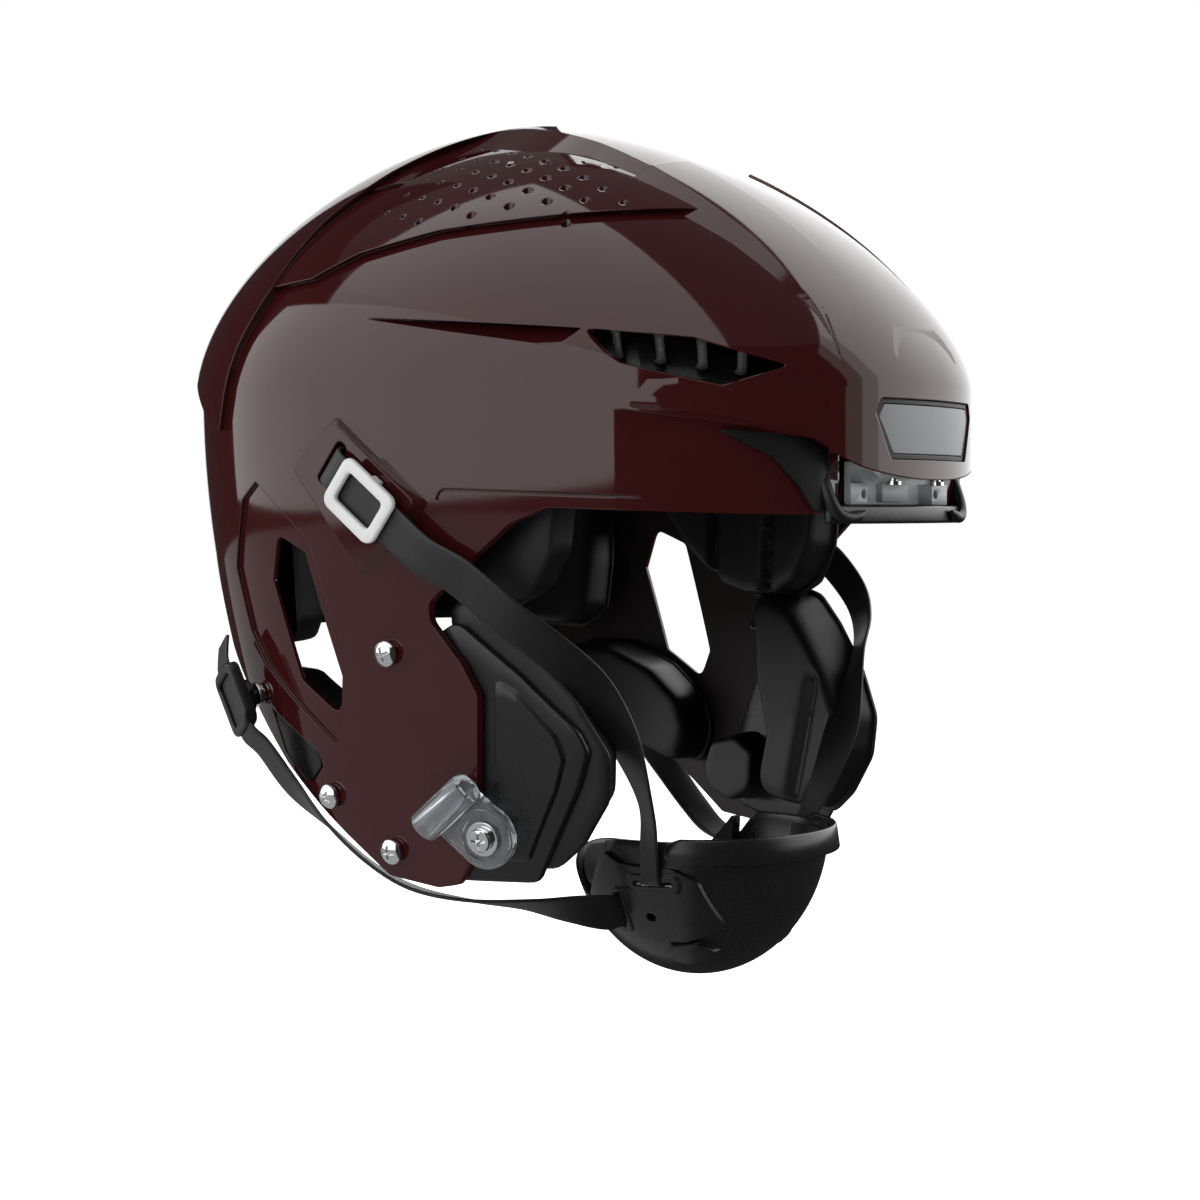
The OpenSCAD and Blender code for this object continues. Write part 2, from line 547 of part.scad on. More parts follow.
rear_pad = [[0, -30], [46, -26], [50, 10], [44, 44], [0, 52], [-44, 44], [-50, 10], [-46, -26]];
module front_pad() color(soft_black) pad_solid(soft_outline(fit_front(front_pad), 24, 0.35),
    function (p, s) [p[0], front_y(p[0], p[1], liner_d + 2 * gap + s * pad_t, side_drop), p[1]], pad_rings);
module rear_pad() color(soft_black) pad_solid(soft_outline(fit_front(rear_pad), 24, 0.35),
    function (p, s) [p[0], back_y(p[0], p[1], liner_d + s * pad_t, side_drop), p[1]], pad_rings);
crown_pad_r = [46, 52];
// Crown height above a place seen from the top, by halving
function crown_u(x, y, d, drop, lo, hi, n = 14) = n == 0 ? lo : let (mid = (lo + hi) / 2,
    reach = y < wide_y ? front_l(mid, d, drop) : back_l(mid, d, drop),
    e = y < wide_y ? front_n : back_n,
    out = pow(abs(x) / max(half_w(mid, d, drop), 0.01), e) + pow(abs(y - wide_y) / max(reach, 0.01), e))
    out < 1 ? crown_u(x, y, d, drop, mid, hi, n - 1) : crown_u(x, y, d, drop, lo, mid, n - 1);
module crown_pad() color(soft_black) pad_solid(
    [for (k = [0:23]) [fit_x(crown_pad_r[0]) * sin(k * 15), wide_y - 4 + fit_y(crown_pad_r[1]) * cos(k * 15)]],
    function (p, s) [p[0], p[1], wide_z + crown_u(p[0], p[1], liner_d + s * pad_t, side_drop, 0,
        crown_h - liner_d - s * pad_t - side_drop)], pad_rings);
// Snap discs that hold the liner pads to the inner shell
module liner_snaps() color(chrome) both() for (p = [[14, 8], [-22, 14]])
    on_right(p[0], p[1], liner_d + pad_t + 1.5) cylinder(h = 1.2, r = 5, $fn = 32);

// Black trim set into the shell above its lower rear edge
trim_outline = [[58, -76.5], [33, -90], [31, -95], [37, -101], [41, -101], [52, -92]];
module rear_trim() color(black) intersection() {
    difference() {
        dome(0.1, bottom = -88);
        dome(1.2 - gap, bottom = -92);
    }
    side_prism(-shell_w, -60) offset(delta = -0.5) polygon(fit_side(trim_outline));
}
module rear_trim_right() rear_trim();
module rear_trim_left() left() rear_trim();

// Snap studs: three on each jaw and one under each rear buckle
stud_places = fit_side([[-3, -55], [28, -105], [2.5, -122], [64, -72]]);
stud_shank_r = 1.9;
stud_base_h = 1.6;
module stud() {
    translate([0, 0, -shell_wall + 0.1]) cylinder(h = shell_wall + 1, r = stud_shank_r, $fn = 32);
    translate([0, 0, 0.6]) cylinder(h = stud_base_h - 0.6, r = stud_r - 0.6, $fn = 32);
    translate([0, 0, stud_base_h]) cylinder(h = 1, r = stud_r, $fn = 32);
    translate([0, 0, stud_base_h + 1]) intersection() {
        translate([0, 0, -stud_r * 0.9]) sphere(stud_r * 1.345, $fn = 48);
        cylinder(h = 3, r = stud_r, $fn = 32);
    }
}
module strap_studs() color(chrome) both() for (s = stud_places) on_right(s[0], s[1], 0) stud();

// Straps: a flat band swept along its middle line; each station gives its place,
// the direction across the band and the direction out of its face
function unit(v) = v / norm(v);
// Point of a strap that follows the shell's size by a share
function led(p, share = 1) = p + (fit_place(p) - p) * share;
module band(stations, w, t) {
    n = len(stations);
    points = [for (s = stations) let (a = unit(s[1]), o = unit(s[2] - a * (s[2] * a)))
        each [s[0] + a * w / 2 + o * t / 2, s[0] - a * w / 2 + o * t / 2,
              s[0] - a * w / 2 - o * t / 2, s[0] + a * w / 2 - o * t / 2]];
    polyhedron(points, concat([[0, 1, 2, 3]], [[for (k = [3:-1:0]) 4 * (n - 1) + k]],
        [for (i = [0:n - 2]) for (k = [0:3]) each [
            [4 * i + k, 4 * (i + 1) + k, 4 * (i + 1) + (k + 1) % 4],
            [4 * i + k, 4 * (i + 1) + (k + 1) % 4, 4 * i + (k + 1) % 4]]]));
}
// World point and direction of a place in the boss's frame
boss_n = side_normal(strap_place[0], strap_place[1], 0);
boss_down = [cos(atan2(boss_n.y, boss_n.x)) * boss_n.z, sin(atan2(boss_n.y, boss_n.x)) * boss_n.z,
    -sqrt(1 - boss_n.z * boss_n.z)];
boss_front = cross(boss_n, boss_down);
strap_dir = boss_down * cos(strap_turn) + boss_front * sin(strap_turn);
strap_across = cross(boss_n, strap_dir);
function boss_point(along, up) = [-side_x(strap_place[0], strap_place[1], 0), strap_place[0], strap_place[1]]
    + strap_dir * along + boss_n * up;
strap_up = boss_h + 2.9;
upper_strap_path = [
    [boss_point(-15, -7), strap_across, -strap_dir],
    [boss_point(-15, boss_h), strap_across, -strap_dir],
    [boss_point(-13.4, strap_up - 0.7), strap_across, boss_n - strap_dir],
    [boss_point(-10.5, strap_up), strap_across, boss_n],
    [boss_point(20, strap_up), strap_across, boss_n],
    [boss_point(34, strap_up - 0.8), strap_across, boss_n + strap_dir * 0.1],
    [led([-118.6, -36, -29.5]), [0, -0.62, 0.78], [-1, -0.35, -0.15]],
    [led([-112.5, -50, -42]), [0.1, -0.65, 0.72], [-1, -0.5, -0.3]],
    [led([-101, -59.5, -53]), [0.3, -0.7, 0.6], [-0.8, -0.6, -0.5]],
    [led([-87.5, -64.8, -64.5]), [0.52, -0.72, 0.45], [-0.6, -0.6, -0.5]],
    [led([-77, -67.5, -78]), [0.25, -0.92, 0.2], [-0.8, -0.3, -0.5]],
    [led([-69, -68.5, -91]), [-0.15, -0.97, -0.1], [-0.85, 0.1, -0.5]],
    [led([-58, -67.8, -109], 0.6), [-0.35, -0.85, -0.3], [-0.8, 0.3, -0.5]],
    [[-51.5, -64, -123], [-0.1, -0.97, -0.1], [-0.9, 0.05, -0.4]],
    [[-48.6, -62, -131.5], [0, -1, 0], [-1, 0, -0.25]],
    [[-47.4, -61.3, -134.4], [0, -1, 0], [-0.8, 0, -0.6]],
    [[-45.6, -61, -135.4], [0, -1, 0], [-0.1, 0, -1]],
    [[-40, -61, -135.4], [0, -1, 0], [0, 0, -1]]];
module upper_strap() color(black) band(upper_strap_path, upper_strap_w, strap_t);
module upper_strap_right() upper_strap();
module upper_strap_left() left() upper_strap();
// White slide buckle: end bars over the strap, a middle bar under it
buckle_w = upper_strap_w + 2 * (buckle_bar + 0.4);
module upper_buckle() color("white") at_boss() translate([4.6, 0, strap_up]) difference() {
    union() {
        translate([-buckle_l / 2, -buckle_w / 2, strap_t / 2 + gap]) cube([buckle_l, buckle_w, 2.4]);
        translate([-2, -buckle_w / 2, -strap_t / 2 - gap - 1.2]) cube([4, buckle_w, 1.2]);
        both_y() translate([-2, buckle_w / 2 - buckle_bar, -strap_t / 2 - gap - 1.2])
            cube([4, buckle_bar, strap_t + 2 * gap + 2.4]);
    }
    translate([-buckle_l / 2 + 4, -upper_strap_w / 2 - 0.4, strap_t / 2])
        cube([buckle_l - 8, upper_strap_w + 0.8, 5]);
}
module both_y() {
    children();
    mirror([0, 1, 0]) children();
}
module upper_buckle_right() upper_buckle();
module upper_buckle_left() left() upper_buckle();

rear_place = stud_places[3];
rear_n = side_normal(rear_place[0], rear_place[1], 0);
rear_turn = 30;
module at_rear() on_right(rear_place[0], rear_place[1], 0) rotate([0, 0, rear_turn]) children();
rear_down = [cos(atan2(rear_n.y, rear_n.x)) * rear_n.z, sin(atan2(rear_n.y, rear_n.x)) * rear_n.z,
    -sqrt(1 - rear_n.z * rear_n.z)];
rear_front = cross(rear_n, rear_down);
rear_dir = rear_down * cos(rear_turn) + rear_front * sin(rear_turn);
rear_across = cross(rear_n, rear_dir);
function rear_point(along, up) = [-side_x(rear_place[0], rear_place[1], 0), rear_place[0], rear_place[1]]
    + rear_dir * along + rear_n * up;
cap_seat = stud_base_h + 1 + stud_r * 0.445 + gap;
cap_h = 3;
rear_up = cap_seat + cap_h + gap + 2.2;
module lower_strap() color(black) band([
    [rear_point(-22, rear_up - 3.5), rear_across, rear_n],
    [rear_point(-12, rear_up), rear_across, rear_n],
    [rear_point(12.5, rear_up), rear_across, rear_n],
    [rear_point(20, rear_up - 3.5), rear_across, rear_n + rear_dir * 0.5],
    [led([-108.5, 47, -103.5]), [-0.45, -0.8, 0.45], [-1, 0.2, -0.3]],
    [led([-104.5, 33.5, -116.5]), [-0.8, -0.5, 0.3], [-0.4, 0.3, -0.9]],
    [led([-100, 19, -128.5]), [-0.85, -0.45, 0.2], [-0.2, 0.3, -0.9]],
    [led([-94, 5, -136.5]), [-0.85, -0.5, 0.1], [-0.1, 0.2, -1]],
    [led([-87, -13, -140], 0.8), [-0.8, -0.6, 0.15], [0, 0.1, -1]],
    [led([-75, -30, -141.5], 0.4), [-0.6, -0.7, 0.4], [-0.4, -0.2, -0.9]],
    [[-61, -40.5, -144], [-0.3, -0.4, 0.85], [-0.7, -0.6, -0.4]],
    [[-50.5, -45.6, -146], [0, 0, 1], [-0.4, -0.9, 0]],
    [[-46, -46, -146], [0, 0, 1], [-0.05, -1, 0]],
    [[-38, -46, -146], [0, 0, 1], [0, -1, 0]]], lower_strap_w, strap_t);
module lower_strap_right() lower_strap();
module lower_strap_left() left() lower_strap();
module snap_cap() color(chrome) at_rear() translate([0, 0, cap_seat]) difference() {
    cylinder(h = cap_h, r = cap_r, $fn = 48);
    translate([0, 0, -1]) cylinder(h = 1.6, r = cap_r - 1.2, $fn = 48);
}
module snap_cap_right() snap_cap();
module snap_cap_left() left() snap_cap();
rear_buckle_l = 24;
rear_buckle_w = lower_strap_w + 5;
module rear_buckle() color(black) at_rear() translate([0, 0, cap_seat + cap_h]) difference() {
    translate([-rear_buckle_l / 2, -rear_buckle_w / 2, 0]) cube([rear_buckle_l, rear_buckle_w, 4.6]);
    translate([-rear_buckle_l, -lower_strap_w / 2 - 0.5, 2.2 + gap - strap_t / 2 - gap])
        cube([2 * rear_buckle_l, lower_strap_w + 1, strap_t + 2 * gap]);
    translate([-rear_buckle_l / 2 + 3.5, -lower_strap_w / 2 - 0.5, 2]) cube([rear_buckle_l - 7, lower_strap_w + 1, 5]);
}
module rear_buckle_right() rear_buckle();
module rear_buckle_left() left() rear_buckle();

// Face guard clips: a clear loop for the bar and a lug round the screw
clip_place = [fit_y(-36), -114];
clip_base = 1;
lug_t = 3.2;
loop_at = [-10.5, -12];
loop_turn = -50;
module at_clip() on_right(clip_place[0], clip_place[1], 0) children();
module loop_clip() color([0.8, 0.82, 0.85, 0.4]) at_clip() translate([0, 0, clip_base]) difference() {
    union() {
        cylinder(h = lug_t, r = lug_r, $fn = 64);
        linear_extrude(lug_t) polygon([[-7, lug_r - 2.8], [lug_r - 2.8, -7],
            [loop_at[0] + 6.5, loop_at[1] - 8.5], [loop_at[0] - 6.5, loop_at[1] + 7.5]]);
        translate([loop_at[0], loop_at[1], clip_bore_r + clip_wall]) rotate([0, 0, loop_turn]) rotate([0, 90, 0])
            cylinder(h = clip_l, r = clip_bore_r + clip_wall, center = true, $fn = 64);
    }
    translate([0, 0, -1]) cylinder(h = lug_t + 2, r = screw_r + gap, $fn = 32);
    translate([loop_at[0], loop_at[1], clip_bore_r + clip_wall]) rotate([0, 0, loop_turn]) rotate([0, 90, 0])
        cylinder(h = clip_l + 2, r = clip_bore_r, center = true, $fn = 64);
}
module loop_clip_right() loop_clip();
module loop_clip_left() left() loop_clip();
washer_r = 5.8;
module clip_washers() color(chrome) both() at_clip() translate([0, 0, clip_base + lug_t + gap]) difference() {
    cylinder(h = 1, r = washer_r, $fn = 48);
    translate([0, 0, -1]) cylinder(h = 3, r = screw_r + gap, $fn = 32);
}
screw_in = jaw_d + jaw_plate_t - 1;
nut_r = 4;
module clip_screws() color(chrome) both() at_clip() {
    translate([0, 0, -screw_in]) cylinder(h = screw_in + clip_base + lug_t + gap + 1 + gap, r = screw_r, $fn = 32);
    translate([0, 0, clip_base + lug_t + gap + 1 + gap]) cylinder(h = 2.2, r = 4, $fn = 48);
}
module clip_nuts() color(chrome) both() at_clip() translate([0, 0, -jaw_d + gap + 0.3]) difference() {
    cylinder(h = jaw_d - gap - 0.3 + clip_base - gap, r = nut_r, $fn = 48);
    translate([0, 0, -1]) cylinder(h = jaw_d + 6, r = screw_r + 0.1, $fn = 32);
}

// Chin cup: a bowl under the chin with strap slots in its cheeks
cup_place = [0, -50, -121];
module bowl(d, z0 = 0, around = 40, steps = 9) {
    lats = [for (i = [0:steps]) i * 80 / steps];
    n = around;
    points = concat([[0, 0, z0]], [for (la = lats) for (k = [0:n - 1])
        [(cup_w - d) * cos(la) * cos(k * 360 / n), (cup_l - d) * cos(la) * sin(k * 360 / n),
         -(cup_h - d) * sin(la) + (la == 0 ? z0 : 0)]], [[0, 0, -(cup_h - d)]]);
    m = len(lats);
    translate(cup_place) polyhedron(points, concat(
        [for (k = [0:n - 1]) [0, 1 + (k + 1) % n, 1 + k]],
        [for (i = [0:m - 2]) for (k = [0:n - 1]) each [
            [1 + i * n + k, 1 + i * n + (k + 1) % n, 1 + (i + 1) * n + (k + 1) % n],
            [1 + i * n + k, 1 + (i + 1) * n + (k + 1) % n, 1 + (i + 1) * n + k]]],
        [for (k = [0:n - 1]) [1 + m * n, 1 + (m - 1) * n + k, 1 + (m - 1) * n + (k + 1) % n]]));
}
// Slot that a strap runs through, straight across the cheek
module strap_slot(y, z, w, h) translate([-60, y - w / 2, z - h / 2]) cube([30, w, h]);
// Puts +Z along the outward normal of the right cheek
module on_cheek(y, z) {
    p = [0, y - cup_place[1], z - cup_place[2]];
    across = 1 - pow(p.y / cup_l, 2) - pow(p.z / cup_h, 2);
    n = unit([-sqrt(across) / cup_w, p.y / pow(cup_l, 2), p.z / pow(cup_h, 2)]);
    translate([-cup_w * sqrt(across), y, z]) rotate([0, acos(n.z), atan2(n.y, n.x)]) children();
}
eyelet = [-57.5, -147];
// What the open throat side takes away
module throat_cut(extra = 0) translate([-60, -28 + extra, -146 + extra]) rotate([35, 0, 0]) cube([120, 60, 60]);
module chin_cup() color(black) difference() {
    bowl(0);
    bowl(cup_wall, 1);
    throat_cut();
    both() strap_slot(-61, -135.4, upper_strap_w + 1, strap_t + 2 * gap);
    both() strap_slot(-46, -146, strap_t + 2 * gap, lower_strap_w + 1);
    for (k = [-1, 0, 1]) hull_of([[k * 5, -88, -158 - abs(k)], [k * 5, -92, -164 - abs(k)]], 1.6);
    both() on_cheek(eyelet[0], eyelet[1]) cylinder(h = 12, r = 1.8, center = true, $fn = 24);
}
module cup_liner() color(soft_black) difference() {
    bowl(cup_wall + gap);
    bowl(cup_wall + gap + cup_liner_t, 1);
    throat_cut(3);
    translate([-60, -100, -122.5]) cube([120, 100, 3]);
    both() translate([-60, -75, -155]) cube([60 - 35, 35, 40]);
}
// Lip band round the front of the rim
function rim(a, out, z) = cup_place + [(cup_w + out) * cos(a), (cup_l + out) * sin(a), z];
module cup_lip() color(black) {
    n = 30;
    a0 = -160;
    a1 = -20;
    sect = [[gap, 0.6], [gap + 1.2, -lip_h + 1.5], [gap + 1.2 + lip_t, -lip_h + 2.2], [gap + lip_t - 0.4, 1.6]];
    pts = [for (i = [0:n]) let (a = a0 + (a1 - a0) * i / n) for (s = sect) rim(a, s[0], s[1])];
    polyhedron(pts, concat([[3, 2, 1, 0]], [[for (k = [0:3]) 4 * n + k]],
        [for (i = [0:n - 1]) for (k = [0:3]) each [
            [4 * i + k, 4 * (i + 1) + (k + 1) % 4, 4 * (i + 1) + k],
            [4 * i + k, 4 * i + (k + 1) % 4, 4 * (i + 1) + (k + 1) % 4]]]));
}
module cup_eyelets() color("#303032") both() on_cheek(eyelet[0], eyelet[1]) translate([0, 0, 0.15]) difference() {
    cylinder(h = 1.2, r = 4, $fn = 48);
    translate([0, 0, -1]) cylinder(h = 4, r = 1.8, $fn = 48);
}

outer_shell();
inner_shell();
crown_columns();
vent_columns();
brow_seal_left();
brow_seal_right();
name_plate();
front_bracket();
bracket_screws();
front_bumper();
bumper_loops();
front_pad();
crown_pad();
rear_pad();
side_pad_left();
side_pad_right();
back_pad_left();
back_pad_right();
neck_pad_left();
neck_pad_right();
jaw_plate_left();
jaw_plate_right();
jaw_pad_left();
jaw_pad_right();
jaw_block_left();
jaw_block_right();
rear_trim_left();
rear_trim_right();
strap_studs();
upper_strap_left();
upper_strap_right();
upper_buckle_left();
upper_buckle_right();
lower_strap_left();
lower_strap_right();
rear_buckle_left();
rear_buckle_right();
snap_cap_left();
snap_cap_right();
loop_clip_left();
loop_clip_right();
clip_screws();
clip_washers();
clip_nuts();
chin_cup();
cup_liner();
cup_lip();
cup_eyelets();
liner_snaps();
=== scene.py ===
"""Looks of a football helmet without its face guard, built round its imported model.

The sizes are in millimetres, as in the model's source, and every finished mesh is turned to metres.
"""
import logging
import math
from dataclasses import dataclass
from enum import Enum
from typing import Callable, Sequence

import bmesh
import bpy
import numpy as np
from mathutils import Matrix, Vector


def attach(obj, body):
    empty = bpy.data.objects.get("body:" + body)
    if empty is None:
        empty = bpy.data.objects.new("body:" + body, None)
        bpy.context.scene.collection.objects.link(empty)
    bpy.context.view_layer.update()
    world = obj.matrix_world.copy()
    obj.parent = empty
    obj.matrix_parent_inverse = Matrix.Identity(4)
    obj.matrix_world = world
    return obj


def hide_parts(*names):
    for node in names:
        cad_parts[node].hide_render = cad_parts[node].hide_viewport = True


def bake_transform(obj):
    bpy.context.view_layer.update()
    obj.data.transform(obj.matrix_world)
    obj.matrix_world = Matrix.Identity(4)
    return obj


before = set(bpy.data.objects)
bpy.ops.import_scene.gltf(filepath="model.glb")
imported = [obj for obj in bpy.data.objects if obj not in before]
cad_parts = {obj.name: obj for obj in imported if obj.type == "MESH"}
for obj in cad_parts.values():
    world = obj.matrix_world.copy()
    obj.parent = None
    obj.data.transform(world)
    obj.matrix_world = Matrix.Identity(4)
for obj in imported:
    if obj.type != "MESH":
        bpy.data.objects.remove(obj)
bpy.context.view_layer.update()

log = logging.getLogger("helmet")
MM = 0.001
Point2 = tuple[float, float]
Point3 = tuple[float, float, float]
Outline = tuple[Point2, ...]
Piece = bpy.types.Object
Finish = bpy.types.Material
Tree = bpy.types.NodeTree
Socket = bpy.types.NodeSocket

# Shared sizes and places: gap between neighbours, stud head, strap boss with its turn, studs, clip
GAP = 0.3
STUD_R = 4.3
BOSS_H = 3.0
BOSS_AT = (3.2, -1.5, 51.8)
STUDS: Outline = ((-3, -55), (28, -105), (2.5, -122), (64, -72))
CLIP_AT: Point2 = (-36, -114)


class Side(Enum):
    """The wearer's side that a piece belongs to."""

    RIGHT = "right"
    LEFT = "left"


class Cut(Enum):
    """How one solid works on another."""

    JOIN = "UNION"
    REMOVE = "DIFFERENCE"
    KEEP = "INTERSECT"


# Shape tools


def deselect() -> None:
    """Leave edit mode and select nothing."""
    if bpy.context.mode != "OBJECT":
        bpy.ops.object.mode_set(mode="OBJECT")
    bpy.ops.object.select_all(action="DESELECT")


def make_active(piece: Piece) -> None:
    """Select only this piece."""
    deselect()
    piece.select_set(True)
    bpy.context.view_layer.objects.active = piece


def apply_modifiers(piece: Piece) -> Piece:
    """Apply every modifier of a piece in its order."""
    make_active(piece)
    for modifier in list(piece.modifiers):
        bpy.ops.object.modifier_apply(modifier=modifier.name)
    return piece


def discard(piece: Piece) -> None:
    """Delete a tool solid and its mesh."""
    mesh = piece.data
    bpy.data.objects.remove(piece)
    bpy.data.meshes.remove(mesh)


def outward(piece: Piece) -> Piece:
    """Merge doubles and turn every face outwards."""
    make_active(piece)
    bpy.ops.object.mode_set(mode="EDIT")
    bpy.ops.mesh.select_all(action="SELECT")
    bpy.ops.mesh.remove_doubles(threshold=0.0001)
    bpy.ops.mesh.normals_make_consistent(inside=False)
    bpy.ops.object.mode_set(mode="OBJECT")
    return piece


def combine(body: Piece, tool: Piece, cut: Cut, keep_tool: bool = False) -> Piece:
    """Work one closed solid with another.

    Args:
        body: The solid that stays.
        tool: The solid that works on it.
        cut: Join, remove or keep the common part.
        keep_tool: Whether the tool is wanted again.

    Returns:
        The worked solid.
    """
    modifier = body.modifiers.new("work", "BOOLEAN")
    modifier.operation = cut.value
    modifier.solver = "MANIFOLD"
    modifier.object = tool
    apply_modifiers(body)
    if not keep_tool:
        discard(tool)
    return body


def duplicate(piece: Piece, name: str) -> Piece:
    """Copy a piece with its own mesh."""
    copy = bpy.data.objects.new(name, piece.data.copy())
    copy.data.name = name
    bpy.context.scene.collection.objects.link(copy)
    return copy


def mirrored(piece: Piece, name: str) -> Piece:
    """Copy a piece across the middle plane, with its faces outwards."""
    copy = duplicate(piece, name)
    copy.data.transform(Matrix.Scale(-1, 4, Vector((1, 0, 0))))
    copy.data.flip_normals()
    return copy


def both_sides(body: Piece, tool: Piece, cut: Cut) -> None:
    """Work a solid with a tool drawn on the right side and with its mirror image."""
    combine(body, mirrored(tool, "tool_left"), cut)
    combine(body, tool, cut)


def joined(pieces: Sequence[Piece], name: str) -> Piece:
    """Make one piece of several."""
    deselect()
    for piece in pieces:
        piece.select_set(True)
    bpy.context.view_layer.objects.active = pieces[0]
    bpy.ops.object.join()
    pieces[0].name = name
    pieces[0].data.name = name
    return pieces[0]


def both_halves(pieces: Sequence[Piece], name: str) -> Piece:
    """Make one piece of right-hand pieces and their mirror images."""
    return joined([*pieces, *[mirrored(piece, "left") for piece in pieces]], name)


def solid(name: str, vertices: Sequence, faces: Sequence) -> Piece:
    """Make a mesh from its vertices and faces."""
    mesh = bpy.data.meshes.new(name)
    mesh.from_pydata([tuple(map(float, v)) for v in vertices], [], [tuple(f) for f in faces])
    mesh.update()
    piece = bpy.data.objects.new(name, mesh)
    bpy.context.scene.collection.objects.link(piece)
    return piece


def read_vectors(collection: bpy.types.bpy_prop_collection, field: str) -> np.ndarray:
    """Read one vector of every item of a mesh's collection."""
    values = np.zeros(len(collection) * 3)
    collection.foreach_get(field, values)
    return values.reshape(-1, 3)


def loft(name: str, rings: np.ndarray, caps: bool = True, closed: bool = False) -> Piece:
    """Skin over rings of points.

    Args:
        name: The piece's name.
        rings: Rings by points by three, all rings with as many points.
        caps: Whether the first and the last ring are filled.
        closed: Whether the last ring joins the first.

    Returns:
        The closed piece, with a UV map whose U runs round and V along, in millimetres.
    """
    m, n = rings.shape[:2]
    last = m if closed else m - 1
    faces = [
        (i * n + k, i * n + (k + 1) % n, (i + 1) % m * n + (k + 1) % n, (i + 1) % m * n + k)
        for i in range(last)
        for k in range(n)
    ]
    if caps and not closed:
        faces += [tuple(range(n - 1, -1, -1)), tuple((m - 1) * n + k for k in range(n))]
    piece = solid(name, rings.reshape(-1, 3), faces)
    round_mm = np.linalg.norm(np.roll(rings, -1, 1) - rings, axis=2).mean(0)
    along_mm = np.linalg.norm(np.diff(rings, axis=0), axis=2).mean(1)
    u = np.concatenate([[0], np.cumsum(round_mm)])
    v = np.concatenate([[0], np.cumsum(along_mm), [0]])
    layer = piece.data.uv_layers.new(name="surface")
    uv = np.zeros((len(piece.data.loops), 2), np.float32)
    corner = 0
    for i in range(last):
        for k in range(n):
            uv[corner:corner + 4] = [(u[k], v[i]), (u[k + 1], v[i]), (u[k + 1], v[i + 1]), (u[k], v[i + 1])]
            corner += 4
    layer.data.foreach_set("uv", uv.ravel())
    return outward(piece)


def filleted(outline: Sequence[Point2], radius: float, steps: int = 5) -> list[Point2]:
    """Round every corner of a closed outline with an arc.

    Args:
        outline: The corners in order.
        radius: The arc's radius, less where a side is too short for it.
        steps: How many straight steps an arc has.

    Returns:
        The outline with its arcs.
    """
    corners = [np.array(p, float) for p in outline]
    made: list[Point2] = []
    for i, corner in enumerate(corners):
        to_last, to_next = corners[i - 1] - corner, corners[(i + 1) % len(corners)] - corner
        a, b = to_last / np.linalg.norm(to_last), to_next / np.linalg.norm(to_next)
        half = math.acos(float(np.clip(a @ b, -1, 1))) / 2
        if half > math.radians(88):
            made.append(tuple(corner))
            continue
        reach = min(radius / math.tan(half), 0.48 * np.linalg.norm(to_last), 0.48 * np.linalg.norm(to_next))
        start, end = corner + a * reach, corner + b * reach
        for s in range(steps + 1):
            t = s / steps
            made.append(tuple((1 - t) ** 2 * start + 2 * t * (1 - t) * corner + t * t * end))
    return made


def prism(name: str, outline: Sequence[Point2], low: float, high: float,
          place: Matrix = Matrix.Identity(4)) -> Piece:
    """Extrude a closed outline.

    Args:
        name: The piece's name.
        outline: The corners in the plane of place's X and Y.
        low: Where it starts along place's Z.
        high: Where it ends.
        place: The frame that the outline is drawn in.

    Returns:
        The closed prism.
    """
    deselect()
    bpy.ops.mesh.primitive_circle_add(vertices=len(outline), fill_type="NGON")
    piece = bpy.context.object
    piece.name = name
    for vertex, corner in zip(piece.data.vertices, outline):
        vertex.co = (corner[0], corner[1], low)
    make_active(piece)
    bpy.ops.object.mode_set(mode="EDIT")
    bpy.ops.mesh.select_all(action="SELECT")
    bpy.ops.mesh.extrude_region_move(TRANSFORM_OT_translate={"value": (0, 0, high - low)})
    bpy.ops.object.mode_set(mode="OBJECT")
    piece.data.transform(place)
    return outward(piece)


SIDEWAYS = Matrix(((0, 0, 1, 0), (1, 0, 0, 0), (0, 1, 0, 0), (0, 0, 0, 1)))
FRONTWAYS = Matrix(((1, 0, 0, 0), (0, 0, -1, 0), (0, 1, 0, 0), (0, 0, 0, 1)))


def side_prism(name: str, outline: Sequence[Point2], low: float, high: float) -> Piece:
    """Extrude an outline drawn as (y, z) along X."""
    return prism(name, outline, low, high, SIDEWAYS)


def drum(name: str, radius: float, low: float, high: float, place: Matrix = Matrix.Identity(4),
         sides: int = 48, top: float | None = None) -> Piece:
    """Make a round solid on place's Z axis, tapered where top gives another radius."""
    deselect()
    bpy.ops.mesh.primitive_cone_add(vertices=sides, radius1=radius, radius2=radius if top is None else top,
                                    depth=high - low, location=(0, 0, (low + high) / 2))
    piece = bpy.context.object
    piece.name = name
    bpy.ops.object.transform_apply(location=True, rotation=True, scale=True)
    piece.data.transform(place)
    return piece


def hull(name: str, points: Sequence[Point3]) -> Piece:
    """Stretch a skin over points."""
    piece = solid(name, points, [])
    make_active(piece)
    bpy.ops.object.mode_set(mode="EDIT")
    bpy.ops.mesh.select_all(action="SELECT")
    bpy.ops.mesh.convex_hull()
    bpy.ops.object.mode_set(mode="OBJECT")
    return outward(piece)


def ring_solid(name: str, outline: Sequence[Point2], place: Matrix = Matrix.Identity(4),
               steps: int = 64) -> Piece:
    """Turn a closed outline drawn as (radius, height) once round place's Z axis."""
    section = np.array(outline, float)
    angles = np.linspace(0, 2 * math.pi, steps, endpoint=False)
    rings = np.stack([np.stack([section[:, 0] * math.cos(a), section[:, 0] * math.sin(a), section[:, 1]], 1)
                      for a in angles])
    piece = loft(name, rings, closed=True)
    piece.data.transform(place)
    return piece


